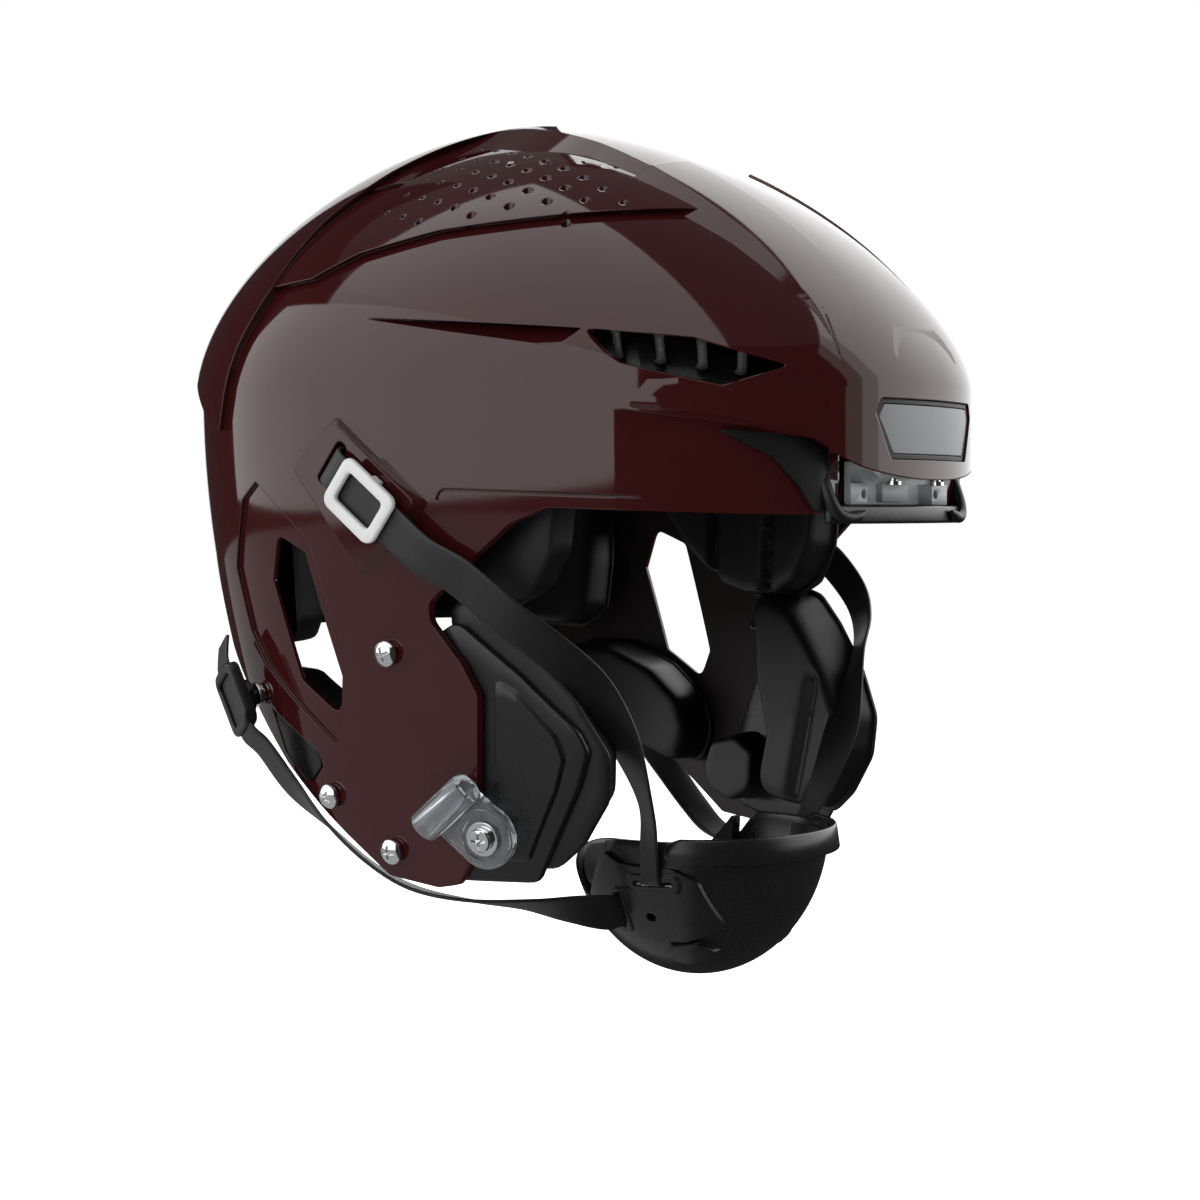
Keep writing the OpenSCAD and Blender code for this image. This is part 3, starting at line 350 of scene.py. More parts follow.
def bevelled(piece: Piece, width: float, steps: int = 2, angle: float = 35) -> Piece:
    """Round the edges that are sharper than an angle."""
    modifier = piece.modifiers.new("rounding", "BEVEL")
    modifier.width = width
    modifier.segments = steps
    modifier.limit_method = "ANGLE"
    modifier.angle_limit = math.radians(angle)
    modifier.use_clamp_overlap = True
    return apply_modifiers(piece)


def smooth(piece: Piece, angle: float = 35) -> Piece:
    """Shade smooth, with edges sharper than the angle kept crisp."""
    make_active(piece)
    bpy.ops.object.shade_smooth_by_angle(angle=math.radians(angle))
    return piece


def curve_through(points: np.ndarray, count: int) -> np.ndarray:
    """Resample a row of points along a smooth line through them.

    Args:
        points: Points by values; neighbouring values vary smoothly.
        count: How many points come back, evenly spaced by the first three values.

    Returns:
        The resampled points.
    """
    p = np.vstack([2 * points[0] - points[1], points, 2 * points[-1] - points[-2]])
    dense = []
    for i in range(1, len(p) - 2):
        for t in np.linspace(0, 1, 24, endpoint=False):
            dense.append(0.5 * (2 * p[i] + (p[i + 1] - p[i - 1]) * t
                                + (2 * p[i - 1] - 5 * p[i] + 4 * p[i + 1] - p[i + 2]) * t * t
                                + (3 * p[i] - p[i - 1] - 3 * p[i + 1] + p[i + 2]) * t ** 3))
    dense.append(p[-2])
    line = np.array(dense)
    travelled = np.concatenate([[0], np.cumsum(np.linalg.norm(np.diff(line[:, :3], axis=0), axis=1))])
    wanted = np.linspace(0, travelled[-1], count)
    return np.stack([np.interp(wanted, travelled, line[:, k]) for k in range(line.shape[1])], 1)


def unit(v: np.ndarray) -> np.ndarray:
    """Vectors at length one, along the last axis."""
    return v / np.maximum(np.linalg.norm(v, axis=-1, keepdims=True), 1e-12)


def oval_tube(name: str, path: np.ndarray, wide: np.ndarray, high: np.ndarray, sides: int) -> Piece:
    """Sweep an oval along a path, with its two half axes given at every point."""
    turns = np.linspace(0, 2 * math.pi, sides, endpoint=False)[None, :, None]
    return loft(name, path[:, None] + wide[:, None] * np.cos(turns) + high[:, None] * np.sin(turns))


# The form that every hard layer follows


@dataclass(frozen=True)
class Layer:
    """One surface of the form: inset, drop of its crown, and if its front corner is pressed in."""

    inset: float = 0.0
    drop: float = 0.0
    folded: bool = False


@dataclass(frozen=True)
class Form:
    """The smooth form of the shell, whose sections are rounded curves."""

    width: float = 240.0
    length: float = 288.6
    crown: float = 100.0
    wide_z: float = 34.0
    wide_y: float = 17.7
    back_band: float = 2.4
    side_drop: float = 7.0
    front_n: float = 2.2
    back_n: float = 2.3
    side_m: float = 1.75
    front_m: float = 1.57
    back_m: float = 1.68
    jaw_draw: float = 0.047
    nape_draw: float = 0.154
    fold_y: float = -82.0
    fold_squeeze: float = 0.86

    def profile(self, u: np.ndarray, height: float, power: float) -> np.ndarray:
        """Share of the widest reach that is left at height u above the widest level."""
        t = np.clip(np.maximum(u, 0) / height, 0, 1 - 1e-9)
        return (1 - t ** power) ** (1 / power)

    def low(self, u: np.ndarray) -> np.ndarray:
        """Square of the depth below the widest level, per 100 mm squared."""
        return (np.minimum(u, 0) / 100) ** 2

    def half_width(self, u: np.ndarray, layer: Layer) -> np.ndarray:
        """Reach to the side at height u."""
        height = self.crown - layer.inset - layer.drop
        drawn = 1 - self.jaw_draw * self.low(u)
        return (self.width / 2 - layer.inset) * self.profile(u, height, self.side_m) * drawn

    def reach(self, u: np.ndarray, front: np.ndarray, layer: Layer) -> np.ndarray:
        """Reach to the front or the back at height u."""
        height = self.crown - layer.inset - layer.drop
        ahead = (self.length / 2 + self.wide_y - layer.inset) * self.profile(u, height, self.front_m)
        behind = ((self.length / 2 - self.wide_y - self.back_band - layer.inset)
                  * self.profile(u, height, self.back_m) * (1 - self.nape_draw * self.low(u)))
        return np.where(front, ahead, behind)

    def points(self, angle: np.ndarray, u: np.ndarray, layer: Layer) -> np.ndarray:
        """Points of a layer at angles from the front, in radians, and heights above the widest level."""
        s, c = np.sin(angle), np.cos(angle)
        front = c > 0
        n = np.where(front, self.front_n, self.back_n)
        r = (np.abs(s) ** n + np.abs(c) ** n) ** (-1 / n)
        y = self.wide_y - self.reach(u, front, layer) * c * r
        if layer.folded:
            y = np.where(y < self.fold_y, self.fold_y + (y - self.fold_y) * self.fold_squeeze, y)
        return np.stack([self.half_width(u, layer) * s * r, y, self.wide_z + u + 0 * y], -1)

    def outside(self, p: np.ndarray, layer: Layer) -> np.ndarray:
        """A value that is 0 on a layer, less inside it and more outside it."""
        y = p[:, 1]
        if layer.folded:
            y = np.where(y < self.fold_y, self.fold_y + (y - self.fold_y) / self.fold_squeeze, y)
        u = p[:, 2] - self.wide_z
        front = y < self.wide_y
        n = np.where(front, self.front_n, self.back_n)
        a = np.abs(p[:, 0]) / np.maximum(self.half_width(u, layer), 1e-6)
        b = np.abs(y - self.wide_y) / np.maximum(self.reach(u, front, layer), 1e-6)
        return (a ** n + b ** n) ** (1 / n) - 1

    def normals(self, p: np.ndarray, layer: Layer) -> tuple[np.ndarray, np.ndarray]:
        """Outward normals of a layer near points, and how far the points lie outside it in millimetres."""
        step = 0.01
        value = self.outside(p, layer)
        slope = np.stack([(self.outside(p + d, layer) - self.outside(p - d, layer)) / (2 * step)
                          for d in np.eye(3) * step], 1)
        size = np.maximum(np.linalg.norm(slope, axis=1), 1e-9)
        return slope / size[:, None], value / size

    def side_x(self, y: np.ndarray, z: np.ndarray, inset: np.ndarray = 0.0, drop: float = 0.0) -> np.ndarray:
        """Half breadth at places seen from the side."""
        y, u = np.asarray(y, float), np.asarray(z, float) - self.wide_z
        layer = Layer(inset, drop)
        front = y < self.wide_y
        n = np.where(front, self.front_n, self.back_n)
        share = np.minimum(np.abs(y - self.wide_y) / np.maximum(self.reach(u, front, layer), 1e-6), 1)
        return self.half_width(u, layer) * np.maximum(1 - share ** n, 0.0001) ** (1 / n)

    def end_y(self, x: np.ndarray, z: np.ndarray, front: bool, inset: np.ndarray, drop: float) -> np.ndarray:
        """Places along Y of the front or back wall, seen from that end."""
        x, u = np.asarray(x, float), np.asarray(z, float) - self.wide_z
        layer = Layer(inset, drop)
        n = self.front_n if front else self.back_n
        share = np.minimum(np.abs(x) / np.maximum(self.half_width(u, layer), 1e-6), 0.999)
        reach = self.reach(u, np.full(u.shape, front), layer) * (1 - share ** n) ** (1 / n)
        return self.wide_y + (-reach if front else reach)

    def crown_z(self, x: np.ndarray, y: np.ndarray, inset: np.ndarray, drop: float) -> np.ndarray:
        """Heights of the crown above places seen from the top, by halving."""
        layer = Layer(np.asarray(inset, float), drop)
        low, high = np.zeros(len(x)), np.full(len(x), self.crown - inset - drop)
        for _ in range(24):
            middle = (low + high) / 2
            inside = self.outside(np.stack([x, y, self.wide_z + middle], 1), layer) < 0
            low, high = np.where(inside, middle, low), np.where(inside, high, middle)
        return self.wide_z + low

    def on_side(self, y: float, z: float, turn: float = 0.0) -> Matrix:
        """Frame on the right side with Z outwards, X down and Y to the front, turned about Z in degrees."""
        gy = float(self.side_x(y + 1, z) - self.side_x(y - 1, z))
        gz = float(self.side_x(y, z + 1) - self.side_x(y, z - 1))
        n = Vector((-2, -gy, -gz)).normalized()
        return (Matrix.Translation((-float(self.side_x(y, z)), y, z))
                @ Matrix.Rotation(math.atan2(n.y, n.x), 4, "Z")
                @ Matrix.Rotation(math.acos(n.z), 4, "Y")
                @ Matrix.Rotation(math.radians(turn), 4, "Z"))


FORM = Form()


def dome(name: str, layer: Layer, low_z: float = -151.0, around: int = 224, rows: int = 40,
         pitch: float = 3.0) -> Piece:
    """Make a closed dome that follows a layer.

    Args:
        name: The piece's name.
        layer: The layer that it follows.
        low_z: Height of its flat underside.
        around: Points round it.
        rows: Rows above the widest level.
        pitch: Distance of the rows below it.

    Returns:
        The dome, shaped from a sphere whose vertices move onto the layer.
    """
    depth = FORM.wide_z - low_z
    below = max(2, round(depth / pitch))
    height = FORM.crown - layer.inset - layer.drop
    heights = [height * math.sin(math.pi / 2 * (1 - i / rows)) for i in range(1, rows)]
    heights += [-depth * i / below for i in range(below + 1)]
    deselect()
    bpy.ops.mesh.primitive_uv_sphere_add(segments=around, ring_count=len(heights) + 1, radius=1)
    piece = bpy.context.object
    piece.name = name
    co = read_vectors(piece.data.vertices, "co")
    ring = np.rint(np.arccos(np.clip(co[:, 2], -1, 1)) / math.pi * (len(heights) + 1)).astype(int)
    u = np.array([height, *heights, -depth])[ring]
    placed = FORM.points(np.arctan2(co[:, 0], -co[:, 1]), u, layer)
    pole = (ring == 0) | (ring == len(heights) + 1)
    placed[pole, 0] = 0
    placed[pole, 1] = FORM.wide_y
    piece.data.vertices.foreach_set("co", placed.ravel())
    piece.data.update()
    return outward(piece)


# Finishes


def linear(colour: str) -> tuple[float, float, float, float]:
    """Turn an sRGB hex colour to a linear one with full alpha."""
    parts = [int(colour[i:i + 2], 16) / 255 for i in (1, 3, 5)]
    return tuple(c / 12.92 if c <= 0.04045 else ((c + 0.055) / 1.055) ** 2.4 for c in parts) + (1.0,)


def add(tree: Tree, kind: str, inputs: dict | None = None, stops: Sequence[tuple[float, str]] = (),
        **settings: object) -> bpy.types.Node:
    """Add a node with its settings and links.

    Args:
        tree: The material's or world's nodes.
        kind: The node's type.
        inputs: A value or another node's socket for each named or numbered input.
        stops: Places and hex colours of a colour ramp's two ends.
        settings: The node's own settings.

    Returns:
        The node.
    """
    node = tree.nodes.new(kind)
    for name, value in settings.items():
        setattr(node, name, value)
    for name, value in (inputs or {}).items():
        if isinstance(value, Socket):
            tree.links.new(value, node.inputs[name])
        else:
            node.inputs[name].default_value = value
    if stops:
        for element, (place, colour) in zip(node.color_ramp.elements, stops):
            element.position = place
            element.color = linear(colour)
    return node


def lit_cloth(tree: Tree, colour: str, glow: float | Socket) -> None:
    """Finish a material that scatters light and shines by itself."""
    cloth = add(tree, "ShaderNodeBsdfDiffuse", {"Color": linear(colour)})
    light = add(tree, "ShaderNodeEmission", {"Color": (1, 1, 1, 1), "Strength": glow})
    both = add(tree, "ShaderNodeAddShader", {0: cloth.outputs[0], 1: light.outputs[0]})
    add(tree, "ShaderNodeOutputMaterial", {"Surface": both.outputs[0]})


def empty_material(name: str) -> tuple[Finish, Tree]:
    """Make a material with no nodes."""
    material = bpy.data.materials.new(name)
    material.use_nodes = True
    material.node_tree.nodes.clear()
    return material, material.node_tree


@dataclass(frozen=True)
class Moulded:
    """A moulded, cast or painted surface: even colour, fine texture and small marks."""

    name: str
    colour: str
    shade: str
    roughness: float
    roughness_spread: float = 0.06
    metallic: float = 0.0
    ior: float = 1.5
    grain_mm: float = 0.9
    grain_depth_mm: float = 0.012
    waviness_mm: float = 0.0
    waviness_depth_mm: float = 0.0
    edge_mm: float = 0.0
    transmission: float = 0.0

    def build(self) -> Finish:
        """Make the material."""
        material, tree = empty_material(self.name)
        place = add(tree, "ShaderNodeTexCoord").outputs["Object"]
        grain = add(tree, "ShaderNodeTexNoise", {"Vector": place, "Scale": 1 / (self.grain_mm * MM),
                                                 "Detail": 3.0, "Roughness": 0.6})
        clouds = add(tree, "ShaderNodeTexNoise", {"Vector": place, "Scale": 28.0, "Detail": 4.0})
        colour = add(tree, "ShaderNodeValToRGB", {"Fac": clouds.outputs["Fac"]},
                     [(0.3, self.shade), (0.7, self.colour)]).outputs["Color"]
        marks = add(tree, "ShaderNodeMath", {0: clouds.outputs["Fac"], 1: grain.outputs["Fac"]},
                    operation="MULTIPLY")
        rough = add(tree, "ShaderNodeMapRange", {"Value": marks.outputs[0], "From Min": 0.1, "From Max": 0.45,
                                                 "To Min": max(self.roughness - self.roughness_spread / 2,
                                                               0.0),
                                                 "To Max": self.roughness + self.roughness_spread / 2})
        normal = {}
        if self.edge_mm:
            rounded = add(tree, "ShaderNodeBevel", {"Radius": self.edge_mm * MM}, samples=6)
            normal = {"Normal": rounded.outputs["Normal"]}
        if self.waviness_mm:
            waves = add(tree, "ShaderNodeTexNoise", {"Vector": place, "Scale": 1 / (self.waviness_mm * MM),
                                                     "Detail": 1.0})
            bump = add(tree, "ShaderNodeBump", {"Height": waves.outputs["Fac"], "Strength": 1.0,
                                                "Distance": self.waviness_depth_mm * MM, **normal})
            normal = {"Normal": bump.outputs["Normal"]}
        if self.grain_depth_mm:
            bump = add(tree, "ShaderNodeBump", {"Height": grain.outputs["Fac"], "Strength": 1.0,
                                                "Distance": self.grain_depth_mm * MM, **normal})
            normal = {"Normal": bump.outputs["Normal"]}
        shader = add(tree, "ShaderNodeBsdfPrincipled", {
            "Base Color": colour, "Roughness": rough.outputs[0], "Metallic": self.metallic, "IOR": self.ior,
            "Transmission Weight": self.transmission, **normal})
        add(tree, "ShaderNodeOutputMaterial", {"Surface": shader.outputs[0]})
        return material


@dataclass(frozen=True)
class Webbing:
    """Flat woven strap: warp cords along it and fine picks across, read from the strap's own UV map."""

    name: str
    colour: str
    shade: str
    cord_mm: float = 1.1
    pick_mm: float = 1.5
    depth_mm: float = 0.12

    def build(self) -> Finish:
        """Make the material."""
        material, tree = empty_material(self.name)
        uv = add(tree, "ShaderNodeUVMap", uv_map="surface")
        axes = add(tree, "ShaderNodeSeparateXYZ", {"Vector": uv.outputs[0]})
        turns = [add(tree, "ShaderNodeMath", {0: axes.outputs[axis], 1: 2 * math.pi / pitch},
                     operation="MULTIPLY").outputs[0]
                 for axis, pitch in (("X", self.cord_mm), ("Y", self.pick_mm))]
        cord = add(tree, "ShaderNodeMath", {0: turns[0]}, operation="SINE").outputs[0]
        shifted = add(tree, "ShaderNodeMath", {0: turns[1], 1: cord}, operation="ADD").outputs[0]
        pick = add(tree, "ShaderNodeMath", {0: shifted}, operation="SINE").outputs[0]
        weave = add(tree, "ShaderNodeMath", {0: cord, 1: pick}, operation="MULTIPLY").outputs[0]
        height = add(tree, "ShaderNodeMapRange", {"Value": weave, "From Min": -1.0, "From Max": 1.0})
        fuzz = add(tree, "ShaderNodeTexNoise", {"Vector": add(tree, "ShaderNodeTexCoord").outputs["Object"],
                                                "Scale": 900.0, "Detail": 2.0})
        mixed = add(tree, "ShaderNodeMath", {0: height.outputs[0], 1: fuzz.outputs["Fac"]},
                    operation="MULTIPLY")
        colour = add(tree, "ShaderNodeValToRGB", {"Fac": mixed.outputs[0]},
                     [(0.1, self.shade), (0.6, self.colour)]).outputs["Color"]
        bump = add(tree, "ShaderNodeBump", {"Height": height.outputs[0], "Strength": 1.0,
                                            "Distance": self.depth_mm * MM})
        shader = add(tree, "ShaderNodeBsdfPrincipled", {
            "Base Color": colour, "Roughness": 0.42, "Sheen Weight": 0.1, "Sheen Roughness": 0.4,
            "Normal": bump.outputs[0]})
        add(tree, "ShaderNodeOutputMaterial", {"Surface": shader.outputs[0]})
        return material


# Painted polycarbonate, lacquered and polished: even deep maroon under a mirror gloss, a trace of orange peel
SHELL_PAINT = Moulded("painted_polycarbonate", "#351111", "#320e0f", 0.055, 0.02, grain_mm=3.2,
                      grain_depth_mm=0.001, edge_mm=0.6)
# The same moulding left bare inside, where it was never polished: near black with a maroon cast
BARE_INSIDE = Moulded("bare_polycarbonate", "#1d0909", "#170707", 0.55, 0.1, grain_mm=0.8,
                      grain_depth_mm=0.015)
# Injection moulded nylon: black with a soft even sheen from its fine spark-eroded texture
BLACK_NYLON = Moulded("moulded_nylon", "#111112", "#0d0d0e", 0.3, 0.1, grain_mm=0.7, grain_depth_mm=0.015,
                      edge_mm=0.5)
# Moulded nylon of the cup: the same black, drawn smoother so that it shines softly
CUP_NYLON = Moulded("satin_nylon", "#19191a", "#151516", 0.28, 0.06, grain_mm=1.4, grain_depth_mm=0.003,
                    edge_mm=0.7)
# Thermoformed urethane skin of the pads: satin and slightly uneven where it was drawn
PAD_SKIN = Moulded("thermoformed_urethane", "#111112", "#0d0d0e", 0.44, 0.1, grain_mm=0.7,
                   grain_depth_mm=0.012, waviness_mm=22, waviness_depth_mm=0.15)
# Moulded rubber: dull black that scatters more light
BLACK_RUBBER = Moulded("moulded_rubber", "#121213", "#0d0d0e", 0.45, 0.1, grain_mm=0.5, grain_depth_mm=0.02,
                       edge_mm=0.5)
# Cast urethane of the vent struts: grey, satin
GREY_URETHANE = Moulded("cast_urethane", "#48484a", "#3e3e40", 0.35, 0.08, grain_mm=0.8, grain_depth_mm=0.01)
# Stamped steel under clear zinc: grey, softly mirrored, with fine rolling marks
BRACKET_STEEL = Moulded("zinc_plated_steel", "#a9abad", "#9c9ea0", 0.42, 0.1, metallic=0.25, grain_mm=0.5,
                        grain_depth_mm=0.01, edge_mm=0.3)
# Chromed steel: bright mirror with polishing haze
CHROME = Moulded("chromed_steel", "#e2e2e4", "#d9dadc", 0.1, 0.08, metallic=1.0, grain_mm=0.4,
                 grain_depth_mm=0.002, edge_mm=0.2)
# Blackened steel of snaps and eyelets: dark grey, half polished
DARK_STEEL = Moulded("blackened_steel", "#4a4a4d", "#404043", 0.25, 0.1, metallic=1.0, grain_mm=0.4,
                     grain_depth_mm=0.004, edge_mm=0.2)
# Name plate of anodised aluminium: mid grey, satin
PLATE_METAL = Moulded("anodised_aluminium", "#77797a", "#6e7071", 0.36, 0.1, metallic=0.85, grain_mm=0.3,
                      grain_depth_mm=0.006, edge_mm=0.4)
# Moulded acetal: white, dense and smooth
WHITE_ACETAL = Moulded("moulded_acetal", "#d6d7d6", "#cfd0cf", 0.3, 0.08, grain_mm=0.8, grain_depth_mm=0.006,
                       edge_mm=0.3)
# Clear polycarbonate, a little smoky from wear
CLEAR_PLASTIC = Moulded("clear_polycarbonate", "#c9ced2", "#bfc5c9", 0.08, 0.06, transmission=0.9, ior=1.58,
                        grain_mm=2.0, grain_depth_mm=0.004)
# Woven nylon strap with a faint sheen on its cords
STRAP_WEBBING = Webbing("woven_nylon", "#171718", "#101011", 0.7, 0.9, 0.035)


def dress(piece: Piece, finish: Finish) -> Piece:
    """Give a piece one material."""
    piece.data.materials.clear()
    piece.data.materials.append(finish)
    return piece


def hand_over(piece: Piece, finish: Finish | None, body: str, slot: str, *nodes: str,
              fill: float | None = None) -> None:
    """Dress a piece, turn it to metres, let it ride on its body and stand for its nodes.

    Args:
        piece: The finished piece, in millimetres.
        finish: Its material, unless it is dressed already.
        body: The body that it moves with.
        slot: The record's material slot.
        nodes: The model's nodes that it stands for.
        fill: How full a padded piece is.
    """
    if finish:
        dress(piece, finish)
    mesh = piece.data
    exact = read_vectors(mesh.corner_normals, "vector").tolist() if mesh.has_custom_normals else None
    mesh.transform(Matrix.Scale(MM, 4))
    mesh.update()
    if exact:
        mesh.normals_split_custom_set(exact)
    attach(piece, body)
    if nodes:
        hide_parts(*nodes)
    log.info("%s: %d faces", piece.name, len(mesh.polygons))


# Sub-assemblies


@dataclass
class OuterShell:
    """The painted shell with its visor, crown band, perforated panels, rear band, bosses and openings."""

    wall: float = 3.2
    band_w: float = 39.0
    band_wall: float = 9.0
    ridge_h: float = 1.6
    channel_w: float = 18.0
    panel_h: float = 2.6
    back_band_h: float = 2.4
    boss_l: float = 44.0
    boss_w: float = 33.0
    ear_recess: float = 1.4
    scoop_d: float = 5.0
    groove_w: float = 0.9
    groove_d: float = 0.7
    far: float = 240.0
    fan_centre: Point2 = (0.0, 20.0)
    visor_line: Outline = (
        (-85, 24), (-100, 21.5), (-115, 19), (-122.5, 19), (-128, 17), (-131.5, 13.5), (-135, 9), (-138, 6),
        (-141, 4), (-144, 2.2), (-160, 2))
    edge: Outline = (
        (160, 180), (-160, 180), (-160, -1), (-148, -1), (-137, 5.5), (-132, 12), (-128, 12), (-128, -9.5),
        (-62, -7), (-50, -12), (-27, -32), (-20, -38), (-20, -44), (-31, -58), (-36, -68), (-34, -90),
        (-30.5, -120), (-22, -132), (-14, -133.5), (6, -131), (32.5, -111), (52, -95.5), (75.5, -72),
        (92, -58), (112, -53), (160, -52))
    ear_hole: Outline = ((47, -16), (51, -32), (39, -66), (22, -77), (18.5, -66), (33, -22))
    ear_facet: Outline = (
        (57, 2), (66, -4), (74, -28), (67, -50), (58, -62), (24, -87), (20, -78), (17, -56), (30, -18))
    vent: Outline = ((-71, 50), (-102, 46.5), (-125, 38), (-121, 36), (-111, 31.5), (-84, 38.5), (-79, 42))
    crease: Outline = ((62, 69), (38, 71), (21, 79), (-8, 85.5), (-47, 89.5), (-70, 91.5), (-84, 92.5))
    rear_band: Outline = (
        (58, 69), (51, 92), (39, 112), (30, 122), (8, 140), (160, 140), (160, 34), (112, 42), (90, 25),
        (78, 20), (68, 48))
    trim: Outline = ((58, -76.5), (33, -90), (31, -95), (37, -101), (41, -101), (52, -92))
    groove: Outline = (
        (-24.9, -3.6), (-26.8, -1.3), (-66.5, -2.7), (-84, -3.4), (-119, -4.9), (-121.8, 0.8))
    inside: np.ndarray | None = None

    def band_stations(self) -> list[Point3]:
        """Stations of the crown band: angle forward from the top, radius of its edge, half width."""
        w = self.band_w
        return [(-50, 124, w + 6), (-20, 107, w + 6), (-8, 109, w - 11), (5, 107, w - 10),
                (18, 104.5, w - 5.5), (32, 104.7, w), (44, 108.7, w + 2), (58, 118, w + 2), (70, 128, w + 3),
                (80, 134, w + 6.5), (89, 137.5, w + 5), (97, 142, w - 6), (104, 146, w - 17)]

    def slope(self, angle: float) -> float:
        """Run of the band's wall for each millimetre of height."""
        steep = 0.2
        if angle > 76:
            return steep
        return self.band_wall * (1.5 if angle < 12 else 1) / 8

    def wedge(self, name: str, stations: Sequence[Point3], slope: Callable[[float], float],
              shift: float = 0.0) -> Piece:
        """Wedge that spreads from a line inside the head through the stations."""
        above, below = 8.0, 16.0
        line = np.array([(a, r, w, slope(a)) for a, r, w in stations], float)
        count = 16 * (len(line) - 1) + 1
        wanted = np.linspace(0, len(line) - 1, count)
        fine = np.stack([np.interp(wanted, np.arange(len(line)), line[:, k]) for k in range(4)], 1)
        kernel = np.minimum(np.arange(1, 16), np.arange(15, 0, -1)) / 64
        for k in (1, 2):
            padded = np.pad(fine[:, k], 7, mode="reflect", reflect_type="odd")
            fine[:, k] = np.convolve(padded, kernel, "valid")
        rings = []
        for angle, radius, width, run in fine:
            up = max(width + shift - run * above, 1.0)
            down = width + shift + run * below
            dy, dz = -math.sin(math.radians(angle)), math.cos(math.radians(angle))
            rings.append([
                (x, self.fan_centre[0] + r * dy, self.fan_centre[1] + r * dz)
                for x, r in ((up, radius + above), (-up, radius + above),
                             (-down, radius - below), (down, radius - below))])
        return loft(name, np.array(rings))

    def below_visor(self, up: float) -> Piece:
        """Solid of what lies under the visor's edge, moved up by an amount."""
        line = [(y, z + up) for y, z in (*self.visor_line, (-160, -200), (FORM.fold_y, -200),
                                         (FORM.fold_y, 24))]
        return side_prism("below_visor", line, -self.far, self.far)

    def band(self, inset: float, detail: int) -> Piece:
        """Solid of the raised crown band at an inset."""
        stations = [(a + (inset if a < -60 else 0), r, w) for a, r, w in self.band_stations()]
        body = dome("band", Layer(inset), around=detail)
        combine(body, self.wedge("fan", stations, self.slope, -inset * 1.3), Cut.KEEP)
        return combine(body, self.below_visor(inset), Cut.REMOVE)

    def main_form(self, inset: float, detail: int) -> Piece:
        """Solid of side panels, pressed-in lower front corners and crown band at an inset."""
        body = dome("form", Layer(inset, FORM.side_drop), around=detail)
        combine(body, self.below_visor(inset), Cut.REMOVE)
        combine(body, dome("lower", Layer(inset, FORM.side_drop, True), around=detail), Cut.JOIN)
        return combine(body, self.band(inset, detail), Cut.JOIN)

    def ridges(self) -> Piece:
        """The two raised ridges of the crown band, with the channel between them."""
        stations = [s for s in self.band_stations() if s[0] > 31]
        body = dome("ridges", Layer(0.5, -self.ridge_h - 0.4))
        combine(body, self.wedge("fan", [(a, r + self.ridge_h, w) for a, r, w in stations], self.slope),
                Cut.KEEP)
        channel = [(a - (3 if a < 33 else 0), r + 2, self.channel_w) for a, r, w in stations]
        combine(body, self.wedge("channel", channel, lambda angle: -0.8), Cut.REMOVE)
        return combine(body, self.below_visor(0.5), Cut.REMOVE)

    def boss(self) -> Piece:
        """Raised seat of the upper strap's buckle, with a slanted foot."""
        l, w = self.boss_l, self.boss_w
        outline = [(-l / 2 - 1, w / 3), (l / 2 - 2, w / 3), (l / 2 - 8, -w * 2 / 3), (-l / 2 - 6, -w / 3 - 1)]
        top = filleted(outline, 2.0, 4)
        centre = np.mean(np.array(outline), 0)
        foot = [tuple(centre + (np.array(p) - centre) * 1.17) for p in top]
        ring = [[(x, y, z) for x, y in line] for line, z in ((foot, -3.0), (top, BOSS_H - 0.4))]
        crest = [tuple(centre + (np.array(p) - centre) * 0.985) for p in top]
        ring.append([(x, y, BOSS_H) for x, y in crest])
        body = loft("boss", np.array(ring))
        body.data.transform(FORM.on_side(*BOSS_AT))
        return body

    def horn(self) -> Piece:
        """Ledge at the visor's corner: its top leans out under the vent, its lower face drops to the edge."""
        points = []
        for turn, low, out in ((-52, 24.5, -0.2), (-45, 23.5, 2.2), (-39, 21.5, 1.7), (-33, 19, 0.8),
                               (-28, 16.5, 0.2), (-23, 15, -0.6)):
            for z, inset in ((37.5, 0.8), (28, -out), (low, -out * 0.7), (low - 1, 1.0)):
                layer = Layer(inset, FORM.side_drop)
                points.append(FORM.points(np.radians([turn]), np.array([z - FORM.wide_z]), layer)[0])
        return hull("horn", points)

    def scoop(self, t: float) -> Piece:
        """Scoop that leads back from the side vent, t deeper."""
        return hull("scoop", [
            (-115.5 + t, 12, 56.2), (-124, 10, 55.8), (-118, -70, 50.3),
            (-101.5 + self.scoop_d + t, -71 + t, 49.8), (-103 + t, -64 + t, 44 - t), (-112, -66, 44.5 - t)])

    def shallow(self, outline: Sequence[Point2], depth: float) -> Piece:
        """Tool that sinks an outline, seen from the side, by a depth into the right wall."""
        tool = side_prism("sink", outline, -self.far, -60)
        return combine(tool, dome("floor", Layer(depth)), Cut.REMOVE)

    def groove_outline(self) -> list[Point2]:
        """The groove's line given its width."""
        line = filleted([*self.groove, *[(y, z - 8) for y, z in reversed(self.groove)]], 3, 4)
        count = len(line) // 2
        path = np.array(line[:count])
        across = np.gradient(path, axis=0)
        across = unit(np.stack([-across[:, 1], across[:, 0]], 1)) * self.groove_w / 2
        return [tuple(p) for p in (*(path + across), *(path - across)[::-1])]

